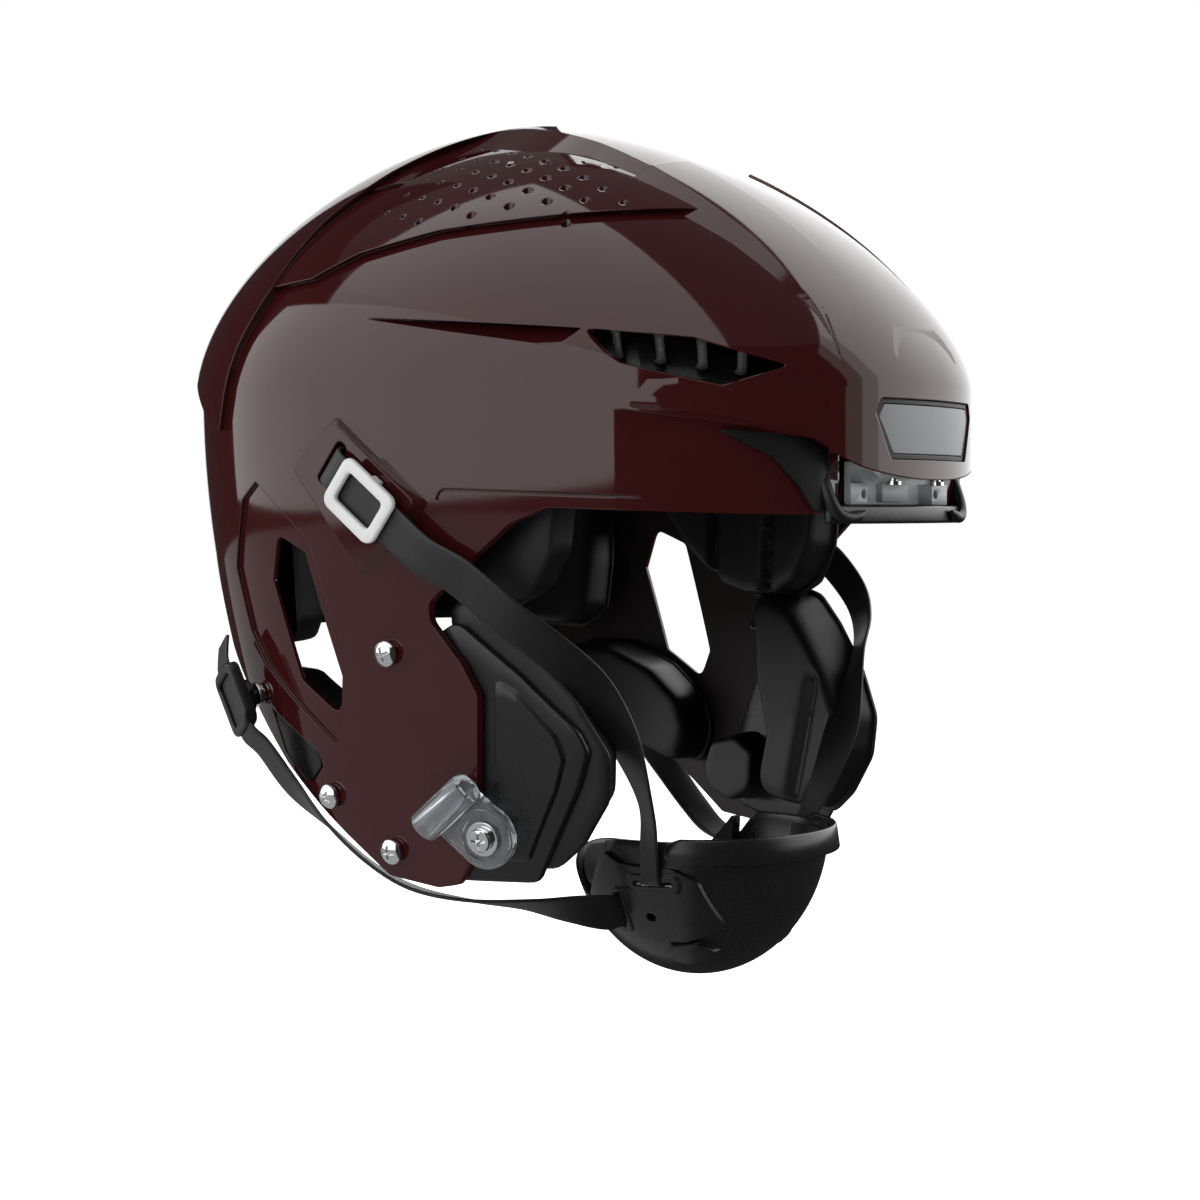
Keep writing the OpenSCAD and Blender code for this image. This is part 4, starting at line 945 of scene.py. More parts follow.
    def perforations(self) -> Piece:
        """Drills of the right panel's perforations: rows that fan back, the widest over the temple."""
        drills = []
        for row, (first, last) in enumerate(((-4, 4), (-3, 4), (-3, 4), (-1, 4), (0, 4), (2, 4))):
            for step in range(first, last + 1):
                y = -20 + 0.9 * row + 9.2 * step * (1.12 if step < 0 else 1)
                x = -51.8 - 9.3 * row + 0.28 * (y + 20)
                radius = 2.0 - 0.02 * abs(y + 34)
                drills.append(drum("drill", radius, 40, 200, Matrix.Translation((x, y, 0)), 20))
        return joined(drills, "drills")

    def build(self) -> Piece:
        """Make the shell as one piece."""
        body = self.main_form(0.0, 224)
        combine(body, self.ridges(), Cut.JOIN)
        panel = dome("panel", Layer(-self.panel_h, FORM.side_drop + 0.6))
        combine(panel, side_prism("lens", [*self.crease, (-84, 160), (62, 160)], -self.far, self.far),
                Cut.KEEP)
        inner_x = self.band_w - 16
        middle = prism("middle", [(-inner_x, -200), (inner_x, -200), (inner_x, 200), (-inner_x, 200)], 0, 200)
        combine(panel, middle, Cut.REMOVE)
        combine(body, panel, Cut.JOIN)
        rear = dome("rear", Layer(-self.back_band_h, self.back_band_h))
        combine(rear, side_prism("rear_outline", self.rear_band, -self.far, self.far), Cut.KEEP)
        combine(body, rear, Cut.JOIN)
        both_sides(body, self.boss(), Cut.JOIN)
        both_sides(body, self.horn(), Cut.JOIN)
        kept = side_prism("kept", filleted(self.edge, 4.5, 5), -self.far, self.far)
        combine(body, kept, Cut.KEEP)

        hollow = self.main_form(self.wall, 160)
        both_sides(hollow, self.scoop(self.wall), Cut.REMOVE)
        combine(body, hollow, Cut.REMOVE)
        both_sides(body, self.scoop(0), Cut.REMOVE)
        both_sides(body, side_prism("vent", filleted(self.vent, 1.5, 3), -self.far, -40), Cut.REMOVE)
        both_sides(body, side_prism("ear", filleted(self.ear_hole, 3, 4), -self.far, -60), Cut.REMOVE)
        both_sides(body, self.shallow(self.ear_facet, self.ear_recess), Cut.REMOVE)
        both_sides(body, self.shallow(self.trim, 1.2), Cut.REMOVE)
        both_sides(body, self.shallow(self.groove_outline(), self.groove_d), Cut.REMOVE)
        slot = prism("slot", filleted([(-17.5, -8.3), (-12.5, -8.3), (-12.5, 8.3), (-17.5, 8.3)], 2.4, 6),
                     -16, 14, FORM.on_side(*BOSS_AT))
        both_sides(body, slot, Cut.REMOVE)
        both_sides(body, self.perforations(), Cut.REMOVE)
        for place in STUDS:
            both_sides(body, drum("hole", 2.2, -9, 11, FORM.on_side(*place), 20), Cut.REMOVE)
        both_sides(body, drum("hole", 4.3, -9, 11, FORM.on_side(*CLIP_AT), 32), Cut.REMOVE)
        combine(body, self.plate_recess(), Cut.REMOVE)
        body.name = body.data.name = "painted_shell"
        self.shade(body)
        return body

    def plate_recess(self) -> Piece:
        """Tool that sinks the seat of the name plate into the brow."""
        tool = prism("seat", filleted(plate_outline(0), 2, 4), 100, 180, FRONTWAYS)
        return combine(tool, dome("floor", Layer(2.2), low_z=-30), Cut.REMOVE)

    def shade(self, body: Piece) -> None:
        """Give the shell the exact normals of the form, with crisp creases between its surfaces."""
        zones = [Zone(Layer(0, FORM.side_drop)), Zone(Layer(0, FORM.side_drop, True), high=(400, -60, 400)),
                 Zone(Layer(0), (0, -400, 30)), Zone(Layer(0.5, -self.ridge_h - 0.4), (0, -400, 40)),
                 Zone(Layer(-self.panel_h, FORM.side_drop + 0.6), (0, -400, 30)),
                 Zone(Layer(-self.back_band_h, self.back_band_h), (0, -20, -400)),
                 Zone(Layer(self.wall, FORM.side_drop)), Zone(Layer(self.wall, FORM.side_drop, True)),
                 Zone(Layer(self.wall)), Zone(Layer(self.ear_recess), (60, 10, -95), (400, 76, 10)),
                 Zone(Layer(2.2), (0, -400, -400), (37, -100, 32)),
                 Zone(Layer(1.2), (60, 25, -400), (400, 62, -70)),
                 Zone(Layer(self.groove_d), (60, -400, -400), (400, -20, 3))]
        owner = shade_on_layers(body, zones)
        self.inside = np.isin(owner, (6, 7, 8))

    def paint(self, body: Piece, outside: Finish, inside: Finish) -> None:
        """Paint the shell, and leave the faces of its hollow bare."""
        dress(body, outside)
        body.data.materials.append(inside)
        body.data.polygons.foreach_set("material_index", self.inside.astype(int))


def plate_outline(inset: float) -> list[Point2]:
    """Outline of the name plate's seat as (x, z), drawn in by an inset."""
    w, h, z = 33.0 - inset, 10.0 - inset, 18.6
    return [(-w + 2.5, z + h), (w - 2.5, z + h), (w, z + h / 2), (w - 7, z - h), (-w + 7, z - h),
            (-w, z + h / 2)]


@dataclass(frozen=True)
class Zone:
    """A layer of the form and the box, both sides folded together, where a face may lie on it."""

    layer: Layer
    low: Point3 = (0, -400, -400)
    high: Point3 = (400, 400, 400)

    def holds(self, points: np.ndarray) -> np.ndarray:
        """Tell which points lie in the box."""
        folded = np.column_stack([np.abs(points[:, 0]), points[:, 1:]])
        return ((folded >= self.low) & (folded <= self.high)).all(1)


def shade_on_layers(body: Piece, zones: Sequence[Zone], reach: float = 0.2, agree: float = 0.985,
                    crease: float = 28.0, soft: float = 0.03, sliver: float = 3.0) -> np.ndarray:
    """Give a body's corners the exact normals of the layers that its faces lie on.

    Args:
        body: The piece, in millimetres.
        zones: The layers that its faces may lie on, each with its box.
        reach: How far a face's corners may lie off its layer.
        agree: Least cosine between a face's normal and its layer's.
        crease: Angle, in degrees, past which other edges stay sharp.
        soft: Distance over which two layers that nearly meet are blended.
        sliver: Area, in mm squared, under which a face's own normal says nothing.

    Returns:
        The number of each face's zone, or -1.
    """
    mesh = body.data
    mesh.update()
    count = len(mesh.polygons)
    normals, places = read_vectors(mesh.polygons, "normal"), read_vectors(mesh.vertices, "co")
    sizes = np.array([face.loop_total for face in mesh.polygons])
    areas = np.array([face.area for face in mesh.polygons])
    face_of = np.repeat(np.arange(count), sizes)
    vertex_of = np.zeros(len(mesh.loops), int)
    mesh.loops.foreach_get("vertex_index", vertex_of)
    owner, best = np.full(count, -1), np.full(count, reach)
    blended, weight = np.zeros((len(vertex_of), 3)), np.zeros(len(vertex_of))
    for i, zone in enumerate(zones):
        exact, off = FORM.normals(places, zone.layer)
        exact, off = exact[vertex_of], off[vertex_of]
        cosine = (exact * normals[face_of]).sum(1)
        near = zone.holds(places)[vertex_of] & (np.abs(off) < reach)
        sure = near & (np.abs(cosine) > agree)
        facing = np.sign(cosine[sure].sum())
        fits = sure | (near & (areas < sliver)[face_of])
        whole = np.bincount(face_of, fits, count) == sizes
        middle = np.bincount(face_of, np.abs(off), count) / sizes
        mine = whole & (middle < best)
        owner[mine], best[mine] = i, middle[mine]
        share = np.where(whole[face_of], 1 / (off ** 2 + soft ** 2), 0)
        blended += exact * (share * facing)[:, None]
        weight += share
    bm = bmesh.new()
    bm.from_mesh(mesh)
    for edge in bm.edges:
        faces = edge.link_faces
        if len(faces) == 2:
            apart = owner[faces[0].index] != owner[faces[1].index]
            turned = math.degrees(faces[0].normal.angle(faces[1].normal, 0))
            loose = any(owner[face.index] < 0 and areas[face.index] > 1 for face in faces)
            edge.smooth = not (turned > crease or (apart and turned > (2 if loose else 12)))
    bm.to_mesh(mesh)
    bm.free()
    mesh.polygons.foreach_set("use_smooth", np.ones(count, bool))
    mesh.update()
    corners = read_vectors(mesh.corner_normals, "vector")
    on_layer = weight > 0
    corners[on_layer] = blended[on_layer] / np.linalg.norm(blended[on_layer], axis=1)[:, None]
    mesh.normals_split_custom_set(corners.tolist())
    return owner


class Palette:
    """The helmet's finishes, each built once."""

    def __init__(self) -> None:
        """Build every finish."""
        self.paint = SHELL_PAINT.build()
        self.bare = BARE_INSIDE.build()
        self.nylon = BLACK_NYLON.build()
        self.cup = CUP_NYLON.build()
        self.skin = PAD_SKIN.build()
        self.rubber = BLACK_RUBBER.build()
        self.steel = BRACKET_STEEL.build()
        self.chrome = CHROME.build()
        self.dark_steel = DARK_STEEL.build()
        self.plate = PLATE_METAL.build()
        self.white = WHITE_ACETAL.build()
        self.clear = CLEAR_PLASTIC.build()
        self.webbing = STRAP_WEBBING.build()
        self.strut = GREY_URETHANE.build()


def pair(right: Piece, name: str, finish: Finish, body: str, slot: str, node: str,
         fill: float | None = None) -> None:
    """Dress a right-hand piece and its mirror image and hand both over.

    Args:
        right: The right-hand piece, in millimetres.
        name: What both are called, before their side.
        finish: Their material.
        body: The body, with {side} where the side's name goes.
        slot: The record's material slot.
        node: The node that each stands for, written as the body is.
        fill: How full a padded piece is.
    """
    left = mirrored(right, f"{name}_{Side.LEFT.value}")
    right.name = right.data.name = f"{name}_{Side.RIGHT.value}"
    for piece, side in ((right, Side.RIGHT), (left, Side.LEFT)):
        hand_over(piece, finish, body.format(side=side.value), slot, node.format(side=side.value), fill=fill)


def block(name: str, low: Point3, high: Point3) -> Piece:
    """Make a box between two corners, as a tool or the start of a piece."""
    deselect()
    bpy.ops.mesh.primitive_cube_add(size=1)
    piece = bpy.context.object
    piece.name = name
    a, b = Vector(low), Vector(high)
    size = b - a
    piece.data.transform(Matrix.Translation((a + b) / 2) @ Matrix.Diagonal((*size, 1)))
    return piece


def cross_slot(body: Piece, long: float, half: float, low: float, high: float) -> None:
    """Cut a cross into the top of a head."""
    for x, y in ((long, half), (half, long)):
        combine(body, block("slot", (-x, -y, low), (x, y, high)), Cut.REMOVE)


def frame_solid(name: str, outer: Sequence[Point2], inner: Sequence[Point2], low: float, high: float,
                soft: float) -> Piece:
    """Make a flat frame with rounded edges between two outlines that have as many points.

    Args:
        name: The piece's name.
        outer: The outer outline.
        inner: The window's outline.
        low: Height of its underside.
        high: Height of its top.
        soft: How far its edges are rounded.

    Returns:
        The closed piece.
    """
    rings = []
    arc = [(soft * (1 - math.cos(t)), high - soft * (1 - math.sin(t))) for t in np.radians((0, 30, 60, 90))]
    for o, i in zip(np.array(outer, float), np.array(inner, float)):
        across = unit(o - i)
        top = [(o - across * run, h) for run, h in arc] + [(i + across * run, h) for run, h in reversed(arc)]
        rings.append([(*p, h) for p, h in (*top, *[(p, low + high - h) for p, h in reversed(top)])])
    return loft(name, np.array(rings), closed=True)


def rounded_box(length: float, width: float, radius: float, steps: int = 7) -> list[Point2]:
    """Outline of a rectangle with round corners, centred."""
    return filleted([(-length / 2, -width / 2), (length / 2, -width / 2), (length / 2, width / 2),
                     (-length / 2, width / 2)], radius, steps)


class Wall(Enum):
    """The inner wall that a pad lies on, which says how its outline is drawn."""

    SIDE = "side"
    FRONT = "front"
    BACK = "back"
    CROWN = "crown"


@dataclass(frozen=True)
class Pad:
    """One cushion or moulded plate that follows the form: outline, depth and the section of its edge."""

    name: str
    node: str
    outline: Outline
    inset: float
    thick: float
    wall: Wall = Wall.SIDE
    lean: float = 0.0
    corner: float = 7.0
    section: Outline = (
        (0.0, 0.0), (0.55, 0.0), (0.97, 0.0), (1.0, 0.03), (1.0, 0.075), (0.99, 0.09), (0.968, 0.095),
        (0.958, 0.12), (0.953, 0.3), (0.944, 0.55), (0.932, 0.76), (0.915, 0.87), (0.89, 0.94),
        (0.855, 0.978), (0.81, 0.994), (0.74, 1.0), (0.6, 1.0), (0.45, 1.0), (0.3, 1.0), (0.15, 1.0),
        (0.0, 1.0))
    channels: tuple[tuple[Point2, Point2], ...] = ()
    channel_w: float = 2.2
    channel_d: float = 5.0
    dimples: tuple[tuple[Point2, float], ...] = ()

    def put(self, line: np.ndarray, height: np.ndarray) -> np.ndarray:
        """Move drawn points onto the wall, each at its height above the pad's foot."""
        drop = FORM.side_drop
        at = self.inset + height
        a, b = line[:, 0], line[:, 1]
        if self.wall is Wall.SIDE:
            y = a + self.lean * height
            return np.stack([-FORM.side_x(y, b, at, drop), y, b], 1)
        if self.wall is Wall.CROWN:
            return np.stack([a, b, FORM.crown_z(a, b, at, drop)], 1)
        return np.stack([a, FORM.end_y(a, b, self.wall is Wall.FRONT, at, drop), b], 1)

    def sunk(self, line: np.ndarray) -> np.ndarray:
        """How much lower the pad lies at drawn points, in its channels and dimples."""
        depth = np.zeros(len(line))
        for start, end in self.channels:
            a, b = np.array(start, float), np.array(end, float)
            share = np.clip(((line - a) @ (b - a)) / ((b - a) @ (b - a)), 0, 1)[:, None]
            off = np.linalg.norm(line - (a + share * (b - a)), axis=1)
            depth = np.maximum(depth, self.channel_d * np.exp(-(off / self.channel_w) ** 2))
        for middle, radius in self.dimples:
            off = np.linalg.norm(line - np.array(middle), axis=1)
            depth = np.maximum(depth, 2.6 / (1 + np.exp((off - radius) * 2.4)))
        return depth

    def build(self) -> Piece:
        """Make the pad."""
        edge = spaced(filleted(self.outline, self.corner, 6), 2.0)
        middle = (edge.max(0) + edge.min(0)) / 2
        rings = []
        grid = [(r, s) for r, s in self.section if r > 0]
        fine: list[Point2] = []
        for (r0, s0), (r1, s1) in zip(grid, grid[1:]):
            parts = 3 if self.channels or self.dimples else 1
            fine += [(r0 + (r1 - r0) * k / parts, s0 + (s1 - s0) * k / parts) for k in range(parts)]
        fine.append(grid[-1])
        for share, rise in fine:
            line = middle + (edge - middle) * share
            rings.append(self.put(line, rise * self.thick - self.sunk(line) * rise))
        piece = loft(self.name, np.array(rings))
        return smooth(piece, 50)


def spaced(outline: Sequence[Point2], pitch: float) -> np.ndarray:
    """Resample a closed outline at an even pitch."""
    p = np.array([*outline, outline[0]], float)
    travelled = np.concatenate([[0], np.cumsum(np.linalg.norm(np.diff(p, axis=0), axis=1))])
    count = max(24, round(travelled[-1] / pitch))
    wanted = np.linspace(0, travelled[-1], count, endpoint=False)
    return np.stack([np.interp(wanted, travelled, p[:, k]) for k in (0, 1)], 1)


@dataclass
class Liner:
    """The head pads inside the inner shell and the snap discs that hold them."""

    palette: Palette
    depth: float = 16.0
    thick: float = 19.0
    snap_places: Outline = ((14, 8), (-22, 14))

    def pads(self) -> tuple[Pad, ...]:
        """The pads on the right side and in the middle."""
        d, t = self.depth, self.thick
        return (
            Pad("temple_pad", "side_pad_{side}", (
                (-8, 34), (-46, 30), (-56, 4), (-53, -22), (-46, -36), (-33, -43), (-18, -44), (-4, -40),
                (16, -24), (28, -8), (32, 24)), d, t,
                channels=(((-30, 40), (-27, -50)), ((2, 40), (-1, -46))),
                dimples=tuple((place, 7.5) for place in self.snap_places)),
            Pad("nape_pad", "back_pad_{side}", (
                (58, 6), (57, -30), (58, -50), (66, -57), (82, -55), (92, -44), (96, -18), (94, 4), (76, 10)),
                d, t * 0.8),
            Pad("collar_pad", "neck_pad_{side}", (
                (54, -62), (33, -72), (18, -85), (13, -98), (17, -113), (34, -106), (52, -91), (74, -69),
                (72, -62)), 4.1, t + 2),
            Pad("brow_pad", "front_pad", (
                (-44, 26), (-44, 46), (-30, 66), (0, 70), (30, 66), (44, 46), (44, 26), (20, 20), (-20, 20)),
                d + 0.6, t, Wall.FRONT, channels=(((-15, 10), (-15, 80)), ((15, 10), (15, 80)))),
            Pad("occiput_pad", "rear_pad", (
                (0, -30), (46, -26), (50, 10), (44, 44), (0, 52), (-44, 44), (-50, 10), (-46, -26)), d, t,
                Wall.BACK, channels=(((-17, -40), (-17, 60)), ((17, -40), (17, 60)))),
            Pad("crown_pad", "crown_pad", tuple(
                (46 * math.sin(k * math.pi / 12), FORM.wide_y - 4 + 52 * math.cos(k * math.pi / 12))
                for k in range(24)), d, t, Wall.CROWN, corner=1.0,
                channels=(((-60, 14), (60, 14)), ((0, -50), (0, 80)))))

    def build(self) -> None:
        """Make the pads and the snaps."""
        for pad in self.pads():
            piece = pad.build()
            if pad.wall is Wall.SIDE:
                pair(piece, pad.name, self.palette.skin, "helmet", "pad", pad.node, fill=0.9)
            else:
                piece.name = piece.data.name = pad.name + "_cushion"
                hand_over(piece, self.palette.skin, "helmet", "pad", pad.node, fill=0.9)
        self.snaps()

    def snaps(self) -> None:
        """Round snap discs with a raised rim, seated in the pads' dimples."""
        made = []
        for place in self.snap_places:
            frame_at = FORM.on_side(*place) @ Matrix.Translation((0, 0, -self.depth - self.thick + 1.0))
            profile = [(0, 0.5), (1.2, 0.5), (3.2, 0.5), (3.6, 0), (4.6, 0), (5, 0.3), (5, 0.8), (4.6, 1.2),
                       (0, 1.2)]
            made.append(ring_solid("snap", profile, frame_at, 40))
        discs = smooth(both_halves(made, "snap_discs"), 30)
        hand_over(discs, self.palette.dark_steel, "helmet", "chrome", "liner_snaps")


@dataclass
class JawSet:
    """Hard jaw plates, their cushions and the small blocks behind them."""

    palette: Palette
    plate_inset: float = 4.1
    plate_t: float = 2.6
    pad_t: float = 22.0
    terrace: Outline = (
        (-39.5, -62), (-47, -66), (-60, -81), (-62, -88), (-58.5, -99), (-47, -123), (-39, -124),
        (-37.5, -95), (-39.5, -72))

    def plate(self) -> Piece:
        """The plate, with a raised field ahead of the shell's edge and the clip screw's hole."""
        plate_section = ((0.4, 0), (0.75, 0), (0.975, 0), (0.99, 0.08), (1.0, 0.3), (1.0, 0.7), (0.99, 0.92),
                         (0.975, 1.0), (0.75, 1.0), (0.4, 1.0))
        outline = ((-27, -44), (-48, -61), (-66, -79), (-69, -86), (-65, -98), (-49, -130), (-21, -131),
                   (-4, -127), (0, -100), (-10, -70), (-20, -48))
        body = Pad("jaw_plate", "", outline, self.plate_inset, self.plate_t, corner=5,
                   section=plate_section).build()
        field = Pad("field", "", self.terrace, self.plate_inset - 1.3, 2.6, corner=4,
                    section=((0.4, 0), (0.8, 0), (0.93, 0), (0.95, 0.1), (1.0, 0.5), (1.0, 1.0),
                             (0.4, 1.0))).build()
        combine(body, field, Cut.JOIN)
        hole = drum("hole", 2.5, -30, 20, FORM.on_side(*CLIP_AT), 32)
        return smooth(combine(body, hole, Cut.REMOVE), 32)

    def build(self) -> None:
        """Make the plates, cushions and blocks."""
        pair(self.plate(), "jaw_guard", self.palette.nylon, "helmet", "black_plastic", "jaw_plate_{side}")
        soft = self.plate_inset + self.plate_t + GAP
        cushion = Pad("jaw_cushion", "jaw_pad_{side}", (
            (-22, -36), (-40, -41), (-51, -52), (-65, -70), (-74, -87), (-73, -102), (-64, -117), (-54, -126),
            (-30, -122), (-34, -98), (-26, -72)), soft, self.pad_t, lean=0.35,
            channels=(((-58, -74), (-50, -122)),), corner=9, channel_d=3.5, channel_w=2.8)
        pair(cushion.build(), "jaw_cushion", self.palette.skin, "helmet", "pad", cushion.node, fill=0.9)
        small = Pad("jaw_block", "jaw_block_{side}", (
            (4, -100), (-9, -97), (-19, -103), (-19, -119), (-8, -125), (3, -121), (7, -112)), soft,
            self.pad_t * 0.75, corner=5)
        pair(small.build(), "jaw_small_cushion", self.palette.skin, "helmet", "pad", small.node, fill=0.9)


@dataclass
class BrowUnit:
    """Name plate, seals, bracket and bumper under and on the brow."""

    palette: Palette
    plate_t: float = 1.2
    recess: float = 2.2
    bumper_z: float = -12.3
    bumper_h: float = 6.0
    seal: Outline = (
        (-108, 18.2), (-115, 17), (-121.5, 17), (-126, 14.8), (-128.8, 11), (-128.8, -7), (-127, -8.5),
        (-124.5, 0), (-120, 9), (-113.5, 14))

    def sheet(self, name: str, top: float, bottom: float, outline: Sequence[Point2]) -> Piece:
        """Make a sheet between two insets, cut to an outline seen from the front."""
        body = dome(name, Layer(top), low_z=-30, around=160, rows=30)
        combine(body, dome("under", Layer(bottom), low_z=-34, around=160, rows=30), Cut.REMOVE)
        return combine(body, prism("outline", outline, 100, 180, FRONTWAYS), Cut.KEEP)

    def plate(self) -> None:
        """The bare plate and the black gasket round it."""
        top = self.recess - GAP - self.plate_t
        plate = self.sheet("plate_face", top, self.recess - GAP, filleted(plate_outline(1.9), 1.2, 4))
        shade_on_layers(plate, [Zone(Layer(top))], crease=40)
        hand_over(bevelled(plate, 0.25, 2, 50), self.palette.plate, "helmet", "grey_plate", "name_plate")
        gasket = self.sheet("plate_gasket", 0.7, self.recess - GAP, filleted(plate_outline(0.25), 1.8, 4))
        combine(gasket, prism("window", filleted(plate_outline(1.75), 1.3, 4), 90, 190, FRONTWAYS),
                Cut.REMOVE)
        hand_over(smooth(gasket, 40), self.palette.rubber, "helmet", "black_rubber")

    def seals(self) -> None:
        """The crescent seals between the visor's corners and the side walls."""
        body = dome("brow_seal", Layer(-1.2 - GAP, FORM.side_drop, True), low_z=-40, around=200, rows=30)
        combine(body, dome("under", Layer(-GAP, FORM.side_drop, True), low_z=-46, around=200, rows=30),
                Cut.REMOVE)
        combine(body, side_prism("outline", filleted(self.seal, 1.5, 3), -240, -30), Cut.KEEP)
        pair(smooth(body, 40), "corner_seal", self.palette.rubber, "helmet", "black_rubber",
             "brow_seal_{side}")

    def bracket(self) -> None:
        """The metal strip: set back in the middle, stepped forward at its holes, its flange up to the lip."""
        front = [(-33.5, -131), (-22.5, -131), (-19, -127.5), (19, -127.5), (22.5, -131), (33.5, -131)]
        back = [(x * 0.99, y + 2.5) for x, y in reversed(front)]
        strip = prism("brow_bracket", [*front, *back], -6, 1)
        flange = prism("flange", [(-127.5, -5), (-125, -5), (-125, 8.2), (-134.6, 8.2), (-138.6, 4.6),
                                  (-138.6, 2.6), (-134, 5.7), (-127.5, 5.7)], -27.5, 27.5, SIDEWAYS)
        combine(strip, flange, Cut.JOIN)
        combine(strip, block("land", (-9, -129, -5), (9, -127.4, 1)), Cut.JOIN)
        lie = Matrix.Rotation(math.radians(-90), 4, "X")
        for x in (-25, 25):
            combine(strip, drum("hole", 1.6, 110, 150, Matrix.Translation((x, 0, -2.5)) @ lie.inverted(), 32),
                    Cut.REMOVE)
        for x in (-15, 15):
            combine(strip, drum("hole", 1.8, 0, 20, Matrix.Translation((x, -136.5, 0)), 32), Cut.REMOVE)
        smooth(bevelled(strip, 0.35, 2, 40), 40)
        hand_over(strip, self.palette.steel, "helmet", "bracket_metal", "front_bracket")

    def bumper(self) -> None:
        """The rounded bumper bar and the rubber hook round each of its ends."""
        bow = [(x, -135.5 + x * x / 420) for x in np.linspace(-45, 45, 31)]
        outline = filleted([*bow, (45.5, -127.5), (31, -127.5), (28, -125.5), (-28, -125.5), (-31, -127.5),
                            (-45.5, -127.5)], 2.4, 6)
        bar = prism("bumper_bar", outline, self.bumper_z, self.bumper_z + self.bumper_h)
        smooth(bevelled(bar, 2.3, 5, 60), 60)
        hand_over(bar, self.palette.nylon, "helmet", "black_rubber", "front_bumper")
        path = curve_through(np.array([
            (-44.8, -124.5, 8.5), (-45.2, -127.6, 1), (-44.9, -129.9, -5), (-42.8, -131.6, -8.9),
            (-39, -132.9, -10.3), (-34.5, -133.8, -9.9), (-30.5, -134.4, -8.4)], float), 40)
        along = unit(np.gradient(path, axis=0))
        forward = np.array((-0.35, -0.93, 0.0))
        out = unit(forward - along * (along @ forward)[:, None])
        swell = np.interp(np.linspace(0, 1, 40), (0, 0.1, 0.5, 0.9, 1), (0.8, 1.0, 1.0, 0.8, 0.3))[:, None]
        hook = smooth(oval_tube("hook", path, out * 2.2 * swell, np.cross(along, out) * 2.3 * swell, 20), 60)
        hand_over(both_halves([hook], "bumper_hooks"), self.palette.rubber, "helmet", "black_rubber",
                  "bumper_loops")

    def build(self) -> None:
        """Make the whole unit; the bracket's screws keep the model's shape."""
        self.plate()
        self.seals()
        self.bracket()
        self.bumper()


